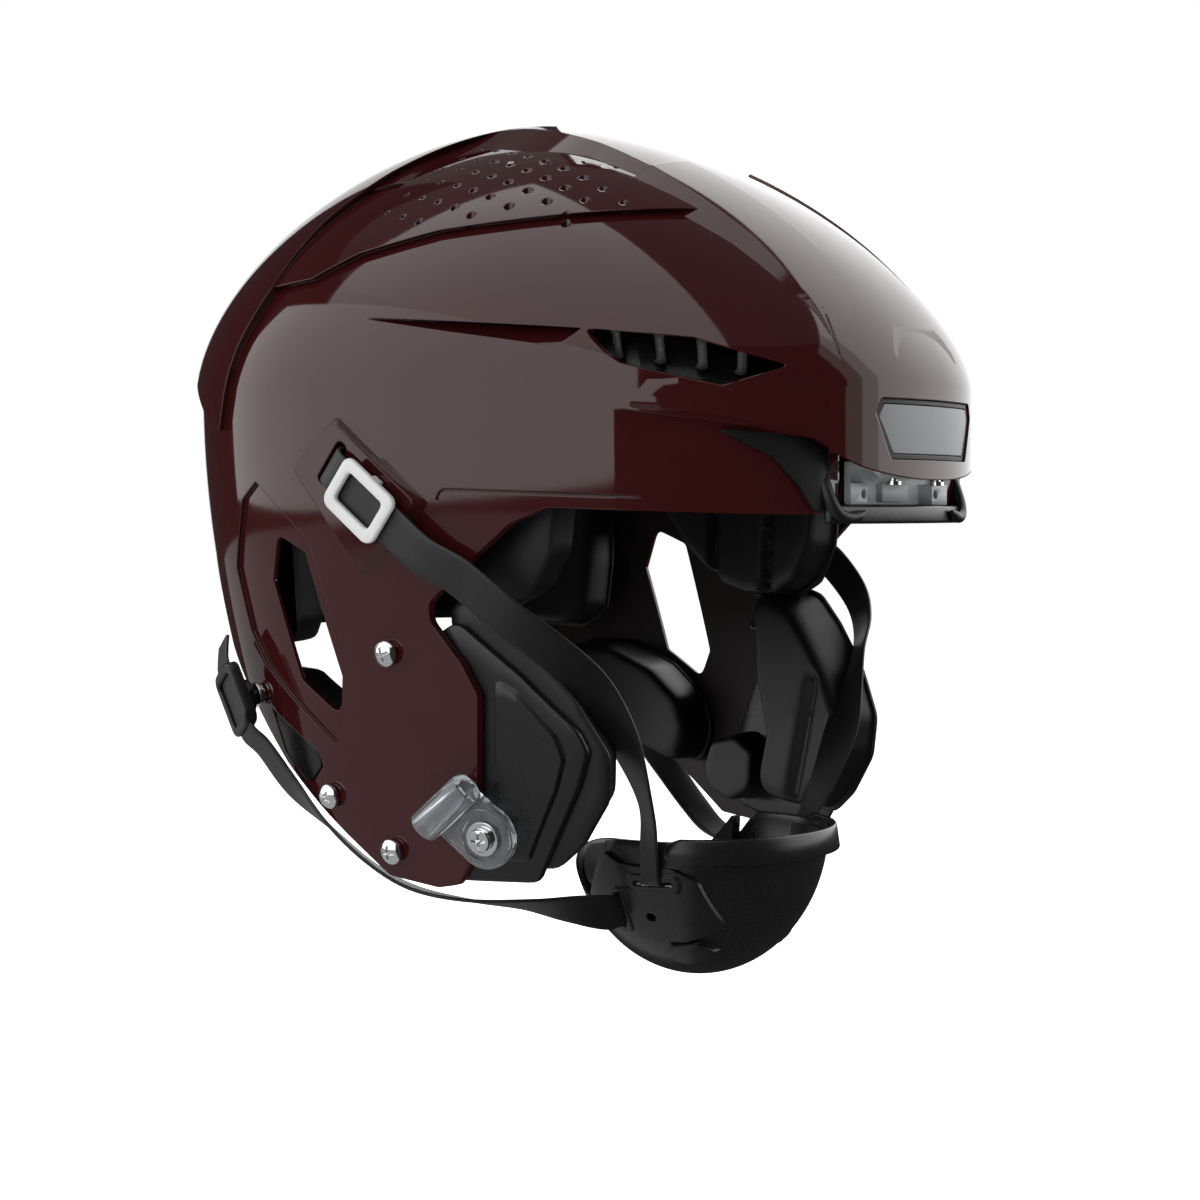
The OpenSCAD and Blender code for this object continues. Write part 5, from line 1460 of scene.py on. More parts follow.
@dataclass
class SideFittings:
    """Studs, rear trim, vent struts and the face guard clips."""

    palette: Palette
    lug_r: float = 10.5
    lug_t: float = 3.2
    bore_r: float = 2.9
    clip_wall: float = 2.6
    clip_l: float = 22.0
    screw_r: float = 2.2
    loop_at: Point2 = (-10.5, -12.0)

    def stud(self, place: Matrix) -> Piece:
        """One chromed stud: shank, neck and a domed head with a cross slot."""
        r = STUD_R
        ball, lift = r * 1.345, r * 0.9
        crown = [(r * math.sin(a), 2.6 - lift + math.sqrt(ball ** 2 - (r * math.sin(a)) ** 2))
                 for a in np.linspace(math.pi / 2.15, 0, 9)]
        profile = [(0, -3.1), (1.9, -3.1), (1.9, 0.6), (r - 0.6, 0.6), (r - 0.6, 1.5), (r - 0.2, 1.6),
                   (r, 1.85), (r, 2.45), *crown]
        body = ring_solid("stud", profile, steps=48)
        cross_slot(body, 2.5, 0.42, 3.6, 6)
        body.data.transform(place)
        return smooth(body, 30)

    def stud_set(self) -> None:
        """Four studs on each side, as one piece."""
        made = [self.stud(FORM.on_side(*p, 20 + 35 * k)) for k, p in enumerate(STUDS)]
        hand_over(both_halves(made, "chromed_studs"), self.palette.chrome, "helmet", "chrome", "strap_studs")

    def trim(self) -> None:
        """Black trim set flush into the shell's lower rear."""
        body = dome("trim", Layer(0.1), low_z=-110, around=160, rows=20)
        combine(body, dome("under", Layer(0.9), low_z=-114, around=160, rows=20), Cut.REMOVE)
        outline = [(56.6, -76.9), (33.6, -89.6), (32, -94.8), (37.6, -100.2), (40.7, -100.3), (51.2, -91.8)]
        combine(body, side_prism("outline", filleted(outline, 2, 4), -240, -60), Cut.KEEP)
        pair(smooth(body, 35), "rear_inlay", self.palette.nylon, "helmet", "black_plastic",
             "rear_trim_{side}")

    def strut_point(self, angle: float, lat: float, inset: float) -> np.ndarray:
        """Point at an angle from the front, at a latitude and an inset."""
        u = (FORM.crown - inset - FORM.side_drop) * math.sin(math.radians(lat))
        return FORM.points(np.radians([angle]), np.array([u]), Layer(inset, FORM.side_drop))[0]

    def vent_struts(self) -> None:
        """The bending struts that show in the side vents, each a soft S between the shells."""
        made = []
        curl = ((3.4, 2.6), (5.2, 3.0), (7.6, 0.6), (9.8, -2.2), (12.3, -2.0))
        for angle, lat in ((-52, 7.3), (-46.5, 6.2), (-41, 5), (-35.5, 3.8)):
            line = [self.strut_point(angle, lat + rise, inset) for inset, rise in curl]
            path = curve_through(np.array(line), 26)
            along = unit(np.gradient(path, axis=0))
            side = unit(np.cross(along, (0, 0, 1)))
            made.append(smooth(oval_tube("strut", path, side * 1.7, np.cross(side, along), 14), 50))
        hand_over(both_halves(made, "vent_struts"), self.palette.strut, "helmet", "columns", "vent_columns")

    def clip(self) -> Piece:
        """A clear clip: lug with a raised rim, neck and the loop for the guard's bar."""
        x, y = self.loop_at
        body = drum("clip", self.lug_r, 0, self.lug_t, sides=72)
        foot = [(-7, self.lug_r - 2.8), (x - 6.5, y + 7.5), (x + 6.5, y - 8.5), (self.lug_r - 2.8, -7)]
        combine(body, prism("neck", foot, 0, self.lug_t), Cut.JOIN)
        rim = drum("rim", self.lug_r - 0.7, self.lug_t - 0.5, self.lug_t + 0.9, sides=72)
        combine(rim, drum("well", self.lug_r - 3.0, 0, 9, sides=64), Cut.REMOVE)
        combine(body, rim, Cut.JOIN)
        tube = self.bore_r + self.clip_wall
        lay = (Matrix.Translation((x, y, tube)) @ Matrix.Rotation(math.radians(-50), 4, "Z")
               @ Matrix.Rotation(math.radians(90), 4, "Y"))
        combine(body, drum("loop", tube, -self.clip_l / 2, self.clip_l / 2, lay, 72), Cut.JOIN)
        combine(body, drum("bore", self.bore_r, -self.clip_l, self.clip_l, lay, 56), Cut.REMOVE)
        combine(body, drum("hole", self.screw_r + GAP, -5, 12, sides=40), Cut.REMOVE)
        bevelled(body, 0.55, 3, 50)
        body.data.transform(FORM.on_side(*CLIP_AT) @ Matrix.Translation((0, 0, 1)))
        return smooth(body, 40)

    def clip_hardware(self) -> None:
        """Screw, washer and sleeve nut of both clips."""
        lug_top = 1 + self.lug_t
        place = FORM.on_side(*CLIP_AT)
        flat = [(2.5, 0), (5.6, 0), (5.8, 0.2), (5.8, 0.8), (5.6, 1.0), (2.7, 1.0), (2.5, 0.8)]
        washer = smooth(ring_solid("washer", flat, Matrix.Translation((0, 0, lug_top + GAP)), 56), 30)
        head = [(0, -5.7), (self.screw_r, -5.7), (self.screw_r, lug_top + 1.6), (3.7, lug_top + 1.6),
                (4, lug_top + 1.9), (4, lug_top + 3.1), (3.6, lug_top + 3.7), (2.6, lug_top + 3.95),
                (0, lug_top + 4.0)]
        screw = ring_solid("screw", head, steps=48)
        cross_slot(screw, 2.6, 0.45, lug_top + 2.5, 12)
        smooth(screw, 30)
        nut = smooth(ring_solid("nut", [(2.3, -3.5), (4, -3.5), (4, 0.7), (2.3, 0.7)], steps=48), 30)
        for piece, name, node in ((washer, "clip_washer_set", "clip_washers"),
                                  (screw, "clip_screw_set", "clip_screws"),
                                  (nut, "clip_nut_set", "clip_nuts")):
            piece.data.transform(place)
            hand_over(both_halves([piece], name), self.palette.chrome, "helmet", "screw_steel", node)

    def build(self) -> None:
        """Make every fitting of both sides."""
        self.stud_set()
        self.trim()
        self.vent_struts()
        pair(self.clip(), "guard_loop", self.palette.clear, "guard_clip_{side}", "clear_plastic",
             "loop_clip_{side}")
        self.clip_hardware()


@dataclass(frozen=True)
class Station:
    """One place of a strap: its middle, the ways across its width and out of its face, its share of width."""

    place: Sequence[float]
    across: Sequence[float]
    out: Sequence[float]
    share: float = 1.0


def laid(at: Matrix, rows: Sequence[tuple[float, float, np.ndarray]]) -> list[Station]:
    """Stations over a frame's X axis, each given as its place along, its height and its way out."""
    across = np.array(at.col[1][:3])
    return [Station(np.array(at @ Vector((along, 0, up))), across, out) for along, up, out in rows]


def strap(name: str, stations: Sequence[Station], width: float, thick: float, part: Point2 = (0.0, 1.0),
          pitch: float = 1.6) -> Piece:
    """Sweep a flat woven band with soft edges through its stations.

    Args:
        name: The piece's name.
        stations: The band's places in order.
        width: The band's width.
        thick: The band's thickness.
        part: The share of its length where it starts and ends.
        pitch: Distance of the cross-sections.

    Returns:
        The closed band.
    """
    rows = np.array([[*s.place, *unit(np.array(s.across, float)), *unit(np.array(s.out, float)), s.share]
                     for s in stations], float)
    length = np.linalg.norm(np.diff(rows[:, :3], axis=0), axis=1).sum()
    line = curve_through(rows, max(12, round(length / pitch)))
    along = unit(np.gradient(line[:, :3], axis=0))
    out = line[:, 6:9] - along * (line[:, 6:9] * along).sum(1, keepdims=True)
    across = unit(line[:, 3:6] - along * (line[:, 3:6] * along).sum(1, keepdims=True))
    out = unit(out - across * (out * across).sum(1, keepdims=True))
    half = [(0.5, -0.2), (0.5, 0.2), (0.485, 0.42), (0.45, 0.5), (0.3, 0.5), (0.15, 0.5), (0, 0.5),
            (-0.15, 0.5), (-0.3, 0.5), (-0.45, 0.5), (-0.485, 0.42)]
    edge = [*half, *[(-w, -t) for w, t in half]]
    rings = [[p + a * width * w * s + o * thick * t for w, t in edge]
             for p, a, o, s in zip(line[:, :3], across, out, line[:, 9])]
    first, last = (round(share * (len(rings) - 1)) for share in part)
    return smooth(loft(name, np.array(rings[first:last + 1])), 60)


@dataclass
class UpperStraps:
    """The straps from the bosses to the chin cup, with their white slide buckles."""

    palette: Palette
    width: float = 13.0
    thick: float = 1.3
    bar: float = 2.4
    buckle_l: float = 25.0

    @property
    def lift(self) -> float:
        """Height of the strap's middle over the shell, where it lies on the boss."""
        return BOSS_H + 2.9

    def stations(self) -> list[Station]:
        """The strap's places, from inside the boss's slot to inside the cup."""
        at = FORM.on_side(*BOSS_AT)
        run, out = np.array(at.col[0][:3]), np.array(at.col[2][:3])
        up = self.lift
        return [
            *laid(at, ((-15, -7, -run), (-15, -2, -run), (-15, 3, -run), (-13.4, up - 0.7, out - run),
                       (-10.5, up, out), (-3, up, out), (8, up, out), (20, up, out),
                       (34, up - 0.8, out + run * 0.1))),
            Station((-118.6, -36, -29.5), (0, -0.62, 0.78), (-1, -0.35, -0.15)),
            Station((-112.5, -50, -42), (0.1, -0.65, 0.72), (-1, -0.5, -0.3)),
            Station((-101, -59.5, -53), (0.3, -0.7, 0.6), (-0.8, -0.6, -0.5)),
            Station((-87.5, -64.8, -64.5), (0.52, -0.72, 0.45), (-0.6, -0.6, -0.5)),
            Station((-77, -67.5, -78), (0.25, -0.92, 0.2), (-0.8, -0.3, -0.5)),
            Station((-69, -68.5, -91), (-0.15, -0.97, -0.1), (-0.85, 0.1, -0.5)),
            Station((-58, -67.3, -109), (-0.35, -0.85, -0.3), (-0.8, 0.3, -0.5), 0.72),
            Station((-51.5, -63.5, -123), (-0.1, -0.97, -0.1), (-0.9, 0.05, -0.4), 0.55),
            Station((-48.6, -61.8, -131.5), (0, -1, 0), (-1, 0, -0.25), 0.52),
            Station((-47.4, -61.3, -134.4), (0, -1, 0), (-0.8, 0, -0.6), 0.52),
            Station((-45.6, -61, -135.4), (0, -1, 0), (-0.1, 0, -1), 0.52),
            Station((-40, -61, -135.4), (0, -1, 0), (0, 0, -1), 0.52)]

    def bulged(self, outline: Sequence[Point2], wide: float, out: float) -> list[Point2]:
        """Swell the side of an outline that looks down and back."""
        half = self.buckle_l / 2
        return [(x, y - out * max(1 - (x / half) ** 2, 0) * min(max(-y / (wide / 2), 0), 1))
                for x, y in outline]

    def buckle(self) -> Piece:
        """The white frame over the strap and the bar under it."""
        low = self.thick / 2 + GAP
        wide = self.width + 2 * (self.bar + 0.4)
        outer = self.bulged(rounded_box(self.buckle_l, wide, 3.6), wide, 1.2)
        inner = self.bulged(rounded_box(self.buckle_l - 7.6, self.width - 2.4, 2.0), self.width, 0.7)
        body = frame_solid("buckle", outer, inner, low, low + 2.4, 0.75)
        under = block("bar", (-2, -wide / 2 + 0.6, -low - 1.2), (2, wide / 2 - 0.6, -low))
        for sign in (-1, 1):
            y0, y1 = sorted((sign * (wide / 2 - 0.6), sign * (wide / 2 - self.bar)))
            combine(under, block("post", (-2, y0, -low - 1.2), (2, y1, low + 1.2)), Cut.JOIN)
        combine(body, bevelled(under, 0.4, 2, 50), Cut.JOIN)
        body.data.transform(FORM.on_side(*BOSS_AT) @ Matrix.Translation((4.6, 0, self.lift)))
        return smooth(body, 40)

    def build(self) -> None:
        """Make both straps and both buckles."""
        right = strap("chin_strap", self.stations(), self.width, self.thick)
        bent_pair(right, "chin_strap", self.palette.webbing, "chin_cup_set", (-118, -30, -25),
                  (-58, -66, -112), "upper_strap_{side}")
        pair(self.buckle(), "slide_buckle", self.palette.white, "slide_buckle_{side}", "white_plastic",
             "upper_buckle_{side}")


def bent_pair(right: Piece, name: str, finish: Finish, follower: str, start: Point3,
              end: Point3, node: str) -> None:
    """Hand over a strap and its mirror image, which bend from the helmet to the body that they follow.

    Args:
        right: The right-hand strap, in millimetres.
        name: What both are called, before their side.
        finish: Their material.
        follower: The body that they follow, with {side} where the side's name goes.
        start: Where the right one leaves the helmet.
        end: From where on it follows the other body.
        node: The node that each stands for, written as the body is.
    """
    left = mirrored(right, f"{name}_{Side.LEFT.value}")
    right.name = right.data.name = f"{name}_{Side.RIGHT.value}"
    for piece, side, flip in ((right, Side.RIGHT.value, 1), (left, Side.LEFT.value, -1)):
        dress(piece, finish).data.transform(Matrix.Scale(MM, 4))
        ends = [(x * flip * MM, y * MM, z * MM) for x, y, z in (start, end)]
        follower.format(side=side)
        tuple(ends[0])
        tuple(ends[1])
        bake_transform(piece)
        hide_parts(node.format(side=side))
        log.info("%s: %d faces", piece.name, len(piece.data.polygons))


@dataclass
class LowerStraps:
    """The straps round the jaw, with the snap buckles at their rear."""

    palette: Palette
    width: float = 12.0
    thick: float = 1.3
    cap_r: float = 6.0
    cap_h: float = 3.0
    buckle_l: float = 24.0
    rear: tuple[float, float, float] = (64.0, -72.0, 30.0)

    @property
    def seat(self) -> float:
        """Height of the snap cap's underside over the shell."""
        return 2.6 + STUD_R * 0.445 + GAP

    def at(self) -> Matrix:
        """Frame of the rear stud, with X along the strap."""
        return FORM.on_side(*self.rear)

    def rear_stations(self) -> list[Station]:
        """Places of the short part that runs through the buckle."""
        at = self.at()
        run, out = np.array(at.col[0][:3]), np.array(at.col[2][:3])
        up = self.seat + self.cap_h + GAP + 2.2
        return laid(at, ((-22, up - 3.5, out - run * 0.3), (-16.5, up - 1.2, out), (-12, up, out),
                         (0, up, out), (12.5, up, out), (20, up - 3.5, out + run * 0.5)))

    def stations(self) -> list[Station]:
        """The strap's places, from behind the buckle to inside the cup."""
        return [
            *self.rear_stations(),
            Station((-108.5, 47, -103.5), (-0.45, -0.8, 0.45), (-1, 0.2, -0.3)),
            Station((-104.5, 33.5, -116.5), (-0.8, -0.5, 0.3), (-0.4, 0.3, -0.9)),
            Station((-100, 19, -128.5), (-0.85, -0.45, 0.2), (-0.2, 0.3, -0.9)),
            Station((-94, 5, -136.5), (-0.85, -0.5, 0.1), (-0.1, 0.2, -1)),
            Station((-87, -13, -140), (-0.8, -0.6, 0.15), (0, 0.1, -1)),
            Station((-75, -30, -141.5), (-0.6, -0.7, 0.4), (-0.4, -0.2, -0.9)),
            Station((-61, -40.5, -144), (-0.3, -0.4, 0.85), (-0.7, -0.6, -0.4)),
            Station((-50.5, -45.6, -146), (0, 0, 1), (-0.4, -0.9, 0)),
            Station((-46, -46, -146), (0, 0, 1), (-0.05, -1, 0)),
            Station((-38, -46, -146), (0, 0, 1), (0, -1, 0))]

    def buckle(self) -> Piece:
        """The dark frame over the snap cap, arched a little along the strap."""
        base = self.seat + self.cap_h
        outer = rounded_box(self.buckle_l, self.width + 5, 4.5)
        inner = rounded_box(self.buckle_l - 7, self.width + 1, 2.5)
        body = frame_solid("rear_buckle", outer, inner, base, base + 4.6, 0.8)
        slot_low = base + 2.2 - self.thick / 2
        cut = block("slot", (-self.buckle_l, -self.width / 2 - 0.5, slot_low),
                    (self.buckle_l, self.width / 2 + 0.5, slot_low + self.thick + 2 * GAP))
        combine(body, cut, Cut.REMOVE)
        body.data.transform(self.at())
        return smooth(body, 40)

    def cap(self) -> Piece:
        """The snap cap over the stud."""
        r, h, z = self.cap_r, self.cap_h, self.seat
        profile = [(0, z + 0.6), (r - 1.2, z + 0.6), (r - 1.2, z), (r - 0.3, z), (r, z + 0.3),
                   (r, z + h - 0.9), (r - 0.5, z + h - 0.2), (r - 1.4, z + h), (0, z + h)]
        return smooth(ring_solid("cap", profile, self.at(), 56), 30)

    def build(self) -> None:
        """Make both straps, buckles and caps."""
        for name, part, follower, start, end in (
                ("rear_strap", (0.0, 0.5), "rear_snap_{side}", (-101, 22, -126), (-110, 52, -96)),
                ("jaw_strap", (0.5, 1.0), "chin_cup_set", (-94, 5, -136.5), (-58, -42, -144.5))):
            right = strap(name, self.stations(), self.width, self.thick, part)
            bent_pair(right, name, self.palette.webbing, follower, start, end, "lower_strap_{side}")
        pair(self.buckle(), "snap_buckle", self.palette.nylon, "rear_snap_{side}", "black_plastic",
             "rear_buckle_{side}")
        pair(self.cap(), "snap_button", self.palette.dark_steel, "rear_snap_{side}", "chrome",
             "snap_cap_{side}")


@dataclass
class ChinCup:
    """The cup with its raised cheeks, lip band, liner and eyelets."""

    palette: Palette
    half_w: float = 47.0
    half_l: float = 46.0
    depth: float = 53.0
    wall: float = 2.4
    liner_t: float = 5.0
    lip_h: float = 9.0
    lip_t: float = 2.6
    place: Point3 = (0.0, -50.0, -121.0)
    eyelet: Point2 = (-57.5, -147.0)
    cheek: Outline = (
        (-39, -124), (-49, -129), (-68, -130), (-75, -134), (-79.5, -152), (-66, -157), (-50, -156),
        (-31, -145), (-31, -130))

    def bowl(self, name: str, inset: float, up: float = 0.0, around: int = 120, rows: int = 34) -> Piece:
        """Closed bowl at an inset, with its flat top raised by an amount."""
        rings = []
        for i in range(rows + 1):
            lat = math.radians(88.5 * i / rows)
            c, s = math.cos(lat), math.sin(lat)
            turns = np.linspace(0, 2 * math.pi, around, endpoint=False)
            rings.append(np.stack([(self.half_w - inset) * c * np.cos(turns),
                                   (self.half_l - inset) * c * np.sin(turns),
                                   np.full(around, -(self.depth - inset) * s)], 1))
        if up:
            rings.insert(0, rings[0] + np.array([0, 0, up]))
        piece = loft(name, np.array(rings))
        piece.data.transform(Matrix.Translation(self.place))
        return piece

    def throat(self, extra: float = 0.0) -> Piece:
        """Tool that opens the throat side, slanted under the jaw."""
        tool = block("throat", (0, 0, 0), (120, 60, 60))
        bevelled(tool, 6, 5, 50)
        tool.data.transform(Matrix.Translation((-60, -28 + extra, -146 + extra))
                            @ Matrix.Rotation(math.radians(35), 4, "X"))
        return tool

    def on_cheek(self, y: float, z: float) -> Matrix:
        """Frame on the right cheek with Z outwards."""
        py, pz = y - self.place[1], z - self.place[2]
        across = 1 - (py / self.half_l) ** 2 - (pz / self.depth) ** 2
        n = Vector((-math.sqrt(across) / self.half_w, py / self.half_l ** 2,
                    pz / self.depth ** 2)).normalized()
        return (Matrix.Translation((-self.half_w * math.sqrt(across), y, z))
                @ Matrix.Rotation(math.atan2(n.y, n.x), 4, "Z") @ Matrix.Rotation(math.acos(n.z), 4, "Y"))

    def shell(self) -> Piece:
        """The cup itself."""
        body = self.bowl("cup", 0)
        plate = self.bowl("cheek", -1.7)
        combine(plate, side_prism("outline", filleted(self.cheek, 4, 5), -60, -15), Cut.KEEP)
        both_sides(body, plate, Cut.JOIN)
        ledge = self.bowl("ledge", -2.6)
        outline = filleted([(-58, -159.5), (-70, -157.5), (-74, -160.5), (-70, -165), (-60, -166)], 2.2, 5)
        combine(ledge, side_prism("outline", outline, -50, -14), Cut.KEEP)
        both_sides(body, ledge, Cut.JOIN)
        for y, z, long_y, long_z in ((-61, -135.4, 18.5, 6.2), (-46, -146, 6.2, 16.5)):
            rim = self.bowl("rim", -2.5)
            combine(rim, prism("outline", rounded_box(long_y, long_z, 3.0, 6), -62, -15,
                               Matrix.Translation((0, y, z)) @ SIDEWAYS), Cut.KEEP)
            both_sides(body, rim, Cut.JOIN)
        combine(body, self.bowl("hollow", self.wall, 1.0), Cut.REMOVE)
        combine(body, self.throat(), Cut.REMOVE)
        for y, z, long_y, long_z in ((-61, -135.4, 14, 1.9), (-46, -146, 1.9, 13)):
            slot = prism("slot", rounded_box(long_y, long_z, 0.9, 6), -62, -30,
                         Matrix.Translation((0, y, z)) @ SIDEWAYS)
            both_sides(body, slot, Cut.REMOVE)
        for k in (-1, 0, 1):
            notch = hull("notch", [(k * 5 + a, y + b, z - abs(k) + c) for y, z in ((-87, -158), (-92, -164.5))
                                   for a in (-0.7, 0.7) for b in (-1, 1) for c in (-0.7, 0.7)])
            combine(body, notch, Cut.REMOVE)
        both_sides(body, drum("hole", 1.8, -8, 8, self.on_cheek(*self.eyelet), 32), Cut.REMOVE)
        return smooth(bevelled(body, 0.35, 2, 55), 32)

    def lining(self) -> Piece:
        """The soft lining in the cup's front and floor."""
        body = self.bowl("lining", self.wall + GAP, rows=26, around=96)
        combine(body, self.bowl("hollow", self.wall + GAP + self.liner_t, 1.0, rows=26, around=96),
                Cut.REMOVE)
        combine(body, self.throat(3), Cut.REMOVE)
        combine(body, block("top", (-60, -100, -122.5), (60, 0, -119.5)), Cut.REMOVE)
        both_sides(body, block("cheek", (-60, -75, -155), (-35, -40, -115)), Cut.REMOVE)
        return smooth(bevelled(body, 1.2, 3, 50), 40)

    def lip(self) -> Piece:
        """The flared band round the front of the rim."""
        g, t, h = GAP, self.lip_t, self.lip_h
        section = [(g, 0.2), (g + 1.2, -h + 2.0), (g + 1.35, -h + 1.6), (g + 1.8, -h + 1.5),
                   (g + 1.0 + t, -h + 1.9), (g + 1.2 + t, -h + 2.3), (g + t + 0.1, 0.9), (g + t - 0.3, 1.5),
                   (g + t - 0.8, 1.65), (g + 0.5, 0.9)]
        rings = []
        for turn in np.linspace(-160, -20, 91):
            fade = min((turn + 160) / 6, (-20 - turn) / 6, 1) ** 0.5
            a = math.radians(turn)
            middle_z = -h / 2 + 1
            ring = []
            for out, z in section:
                z = middle_z + (z - middle_z) * (0.35 + 0.65 * fade)
                ring.append(((self.half_w + out) * math.cos(a),
                             self.place[1] + (self.half_l + out) * math.sin(a), self.place[2] + z))
            rings.append(ring)
        return smooth(loft("lip", np.array(rings)), 50)

    def build(self) -> None:
        """Make the cup's pieces."""
        for piece, name, finish, slot, node, fill in (
                (self.shell(), "cup_shell", self.palette.cup, "cup_plastic", "chin_cup", None),
                (self.lip(), "cup_band", self.palette.cup, "cup_plastic", "cup_lip", None),
                (self.lining(), "cup_cushion", self.palette.skin, "pad", "cup_liner", 1.0)):
            piece.name = piece.data.name = name
            hand_over(piece, finish, "chin_cup_set", slot, node, fill=fill)
        profile = [(1.85, 0.15), (3.8, 0.15), (4.0, 0.4), (3.9, 1.0), (3.4, 1.35), (2.4, 1.3), (1.95, 0.95)]
        eyelet = smooth(ring_solid("eyelet", profile, self.on_cheek(*self.eyelet), 48), 40)
        both = both_halves([eyelet], "cup_eyelet_set")
        hand_over(both, self.palette.dark_steel, "chin_cup_set", "eyelet", "cup_eyelets")


# Stage


@dataclass(frozen=True)
class SoftBox:
    """A rectangular lamp: its middle, the way it faces, its size in metres, its brightness and its turn."""

    name: str
    place: Point3
    facing: Point3
    width: float
    height: float
    radiance: float
    turn: float = 0.0


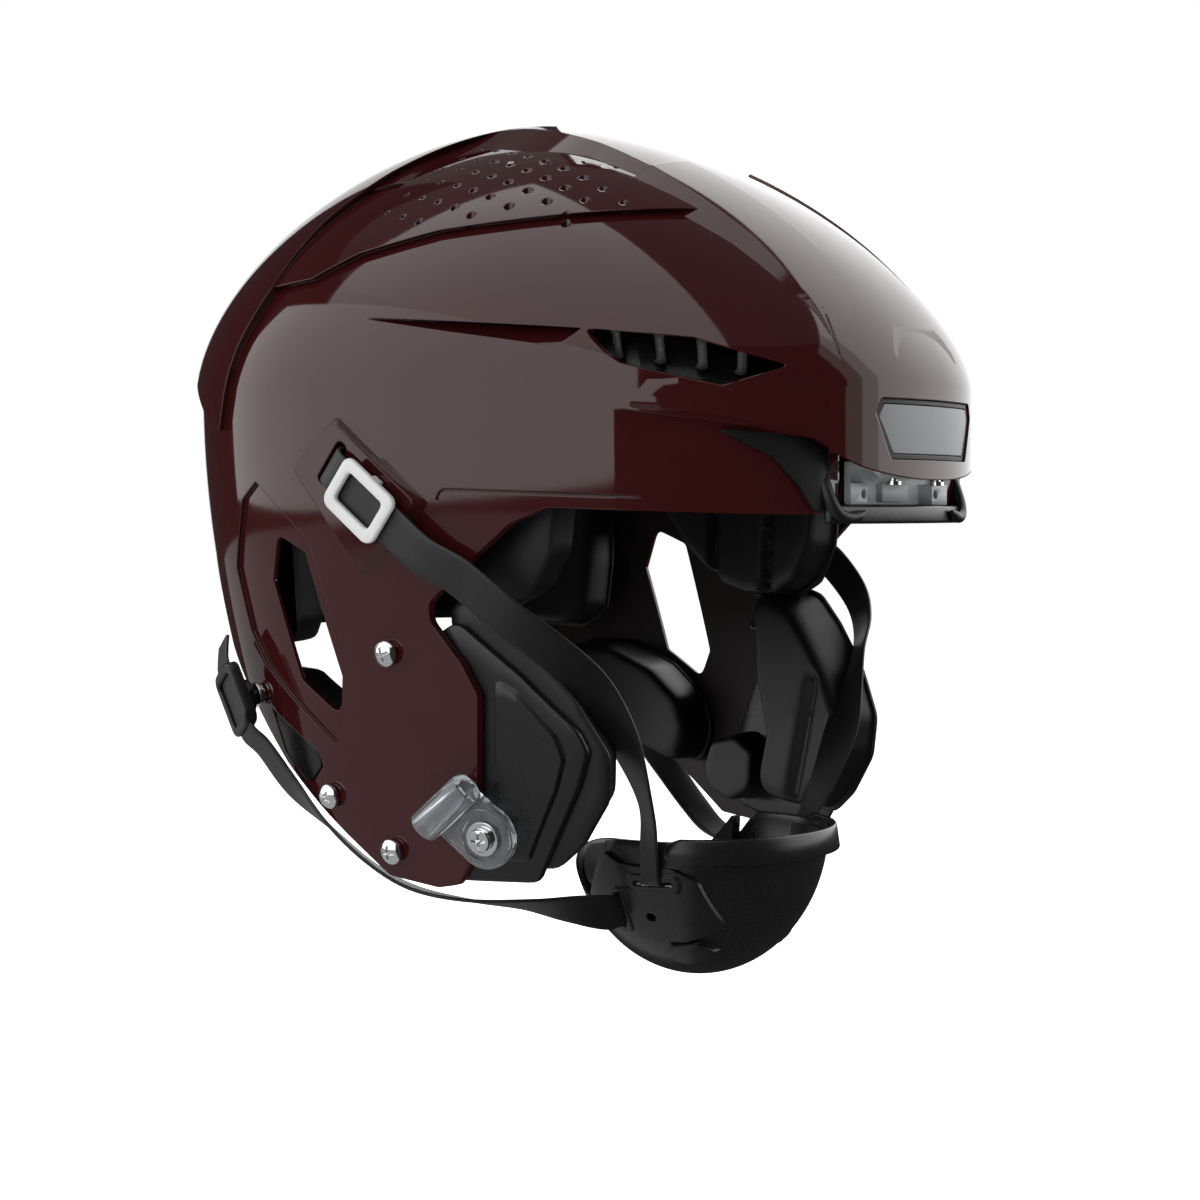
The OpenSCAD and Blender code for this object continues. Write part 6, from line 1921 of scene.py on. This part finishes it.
@dataclass
class Studio:
    """White room with black drapes, soft boxes and the photograph's camera."""

    azimuth: float = -54.09
    elevation: float = 2.22
    distance: float = 862.7
    target: Point3 = (0.0, -5.82, -41.02)
    focal_px: float = 2335.4
    frame_px: float = 1200.0
    sensor_mm: float = 36.0
    floor_z: float = -0.42
    boxes: tuple[SoftBox, ...] = (
        SoftBox("left_box", (-2.027, 0.562, 0.93), (1.668, -1.104, 0), 5.8, 2.14, 1.65),
        SoftBox("overhead_box", (-1.13, -0.041, 2.0), (0, 0, -1), 3.9, 2.15, 1.2, 57),
        SoftBox("front_box", (2.088, -0.113, 1.56), (-1.88, 0.684, 0), 4.945, 3.2, 2.1),
        SoftBox("front_edge", (1.138, -2.723, 1.56), (-1.88, 0.684, 0), 0.61, 3.2, 1.3),
        SoftBox("front_fringe", (0.888, -3.409, 1.56), (-1.88, 0.684, 0), 0.852, 3.2, 0.55))

    def camera(self) -> None:
        """Place the camera at the photograph's view."""
        a, e = math.radians(self.azimuth), math.radians(self.elevation)
        back = Vector((math.sin(a) * math.cos(e), -math.cos(a) * math.cos(e), math.sin(e)))
        data = bpy.data.cameras.new("camera")
        data.sensor_width = self.sensor_mm
        data.lens = self.focal_px / self.frame_px * self.sensor_mm
        data.clip_start, data.clip_end = 0.01, 50.0
        camera = bpy.data.objects.new("camera", data)
        camera.location = (Vector(self.target) + back * self.distance) * MM
        camera.rotation_euler = back.to_track_quat("Z", "Y").to_euler()
        bpy.context.scene.collection.objects.link(camera)
        bpy.context.scene.camera = camera

    def world(self) -> None:
        """White to the eye, in reflections and through clear pieces, and a dim surround for light."""
        world = bpy.data.worlds.new("room")
        bpy.context.scene.world = world
        world.use_nodes = True
        tree = world.node_tree
        tree.nodes.clear()
        path = add(tree, "ShaderNodeLightPath")
        seen = path.outputs["Is Camera Ray"]
        for ray in ("Is Transmission Ray", "Is Glossy Ray"):
            seen = add(tree, "ShaderNodeMath", {0: seen, 1: path.outputs[ray]},
                       operation="MAXIMUM").outputs[0]
        strength = add(tree, "ShaderNodeMapRange", {"Value": seen, "To Min": 0.12, "To Max": 1.0})
        back = add(tree, "ShaderNodeBackground", {"Color": (1, 1, 1, 1), "Strength": strength.outputs[0]})
        add(tree, "ShaderNodeOutputWorld", {"Surface": back.outputs[0]})

    def floor(self) -> None:
        """Pale floor well below the helmet that keeps its shadow."""
        deselect()
        bpy.ops.mesh.primitive_plane_add(size=16, location=(0, 0, self.floor_z))
        piece = bpy.context.object
        piece.name = "floor"
        material, tree = empty_material("white_floor")
        path = add(tree, "ShaderNodeLightPath")
        place = add(tree, "ShaderNodeTexCoord").outputs["Object"]
        away = add(tree, "ShaderNodeVectorMath", {0: place}, operation="LENGTH")
        lift = add(tree, "ShaderNodeMapRange",
                   {"Value": away.outputs["Value"], "From Min": 0.25, "From Max": 0.6,
                                                "To Min": 0.45, "To Max": 1.0})
        seen = add(tree, "ShaderNodeMath", {0: lift.outputs[0], 1: path.outputs["Is Camera Ray"]},
                   operation="MULTIPLY")
        lit_cloth(tree, "#f4f4f4", seen.outputs[0])
        dress(piece, material)

    def drape(self, name: str, colour: str, glow: float, corners: Sequence[Point3], faces: Sequence) -> None:
        """Hang a cloth that only reflections meet, with how brightly it shines back."""
        material, tree = empty_material(name)
        lit_cloth(tree, colour, glow)
        piece = dress(solid(name, corners, faces), material)
        piece.visible_camera = piece.visible_diffuse = False
        piece.visible_transmission = piece.visible_shadow = False

    def drapes(self) -> None:
        """Black drapes, open behind the helmet, and the lit ground under the left box."""
        turns = np.radians(np.linspace(146, 488, 56))
        count = len(turns)
        ring = [(5 * math.sin(t), -5 * math.cos(t), z) for z in (-0.41, 5.0) for t in turns]
        self.drape("drape_wall", "#060606", 0.03, ring,
                   [(k, k + 1, count + k + 1, count + k) for k in range(count - 1)])
        square = [(-6, -6), (6, -6), (6, 6), (-6, 6)]
        self.drape("drape_roof", "#060606", 0.12, [(x, y, 5) for x, y in square], [(0, 1, 2, 3)])
        self.drape("drape_ground", "#060606", 0.03, [(x, y, -0.41) for x, y in square], [(0, 1, 2, 3)])
        pool = [(6 * math.sin(math.radians(t)), -6 * math.cos(math.radians(t)), -0.405)
                for t in (-62, -90, -118, -146, -174, -196)]
        self.drape("lit_ground", "#101010", 0.4, [(0.05, 0.0, -0.405), *pool], [(0, 1, 2, 3, 4, 5, 6)])

    def lamp(self, box: SoftBox) -> None:
        """Hang one soft box."""
        data = bpy.data.lights.new(box.name, "AREA")
        data.shape = "RECTANGLE"
        data.size, data.size_y = box.width, box.height
        data.energy = box.radiance * math.pi * box.width * box.height
        lamp = bpy.data.objects.new(box.name, data)
        lamp.location = box.place
        turn = Matrix.Rotation(math.radians(box.turn), 3, "Z")
        lamp.rotation_euler = ((-Vector(box.facing)).to_track_quat("Z", "Y").to_matrix() @ turn).to_euler()
        lamp.visible_camera = False
        bpy.context.scene.collection.objects.link(lamp)

    def build(self) -> None:
        """Set up the whole stage."""
        self.camera()
        self.world()
        self.floor()
        self.drapes()
        for box in self.boxes:
            self.lamp(box)
        bpy.context.scene.view_settings.view_transform = "Standard"


def dress_kept_nodes(finishes: dict[str, Finish]) -> None:
    """Give every node of the model that still shows its finish."""
    for name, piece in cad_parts.items():
        if piece.hide_render:
            continue
        for word, finish in finishes.items():
            if word in name:
                dress(piece, finish)
                break


def main() -> None:
    """Build the pieces in order and the stage."""
    logging.basicConfig(level=logging.INFO, format="%(message)s")
    deselect()
    Studio().build()
    palette = Palette()
    shell = OuterShell()
    body = shell.build()
    shell.paint(body, palette.paint, palette.bare)
    hand_over(body, None, "helmet", "shell", "outer_shell")
    for part in (Liner, JawSet, BrowUnit, SideFittings, UpperStraps, LowerStraps, ChinCup):
        part(palette).build()
    dress_kept_nodes({"bracket_screws": palette.chrome, "": palette.nylon})


if __name__ == "__main__":
    main()
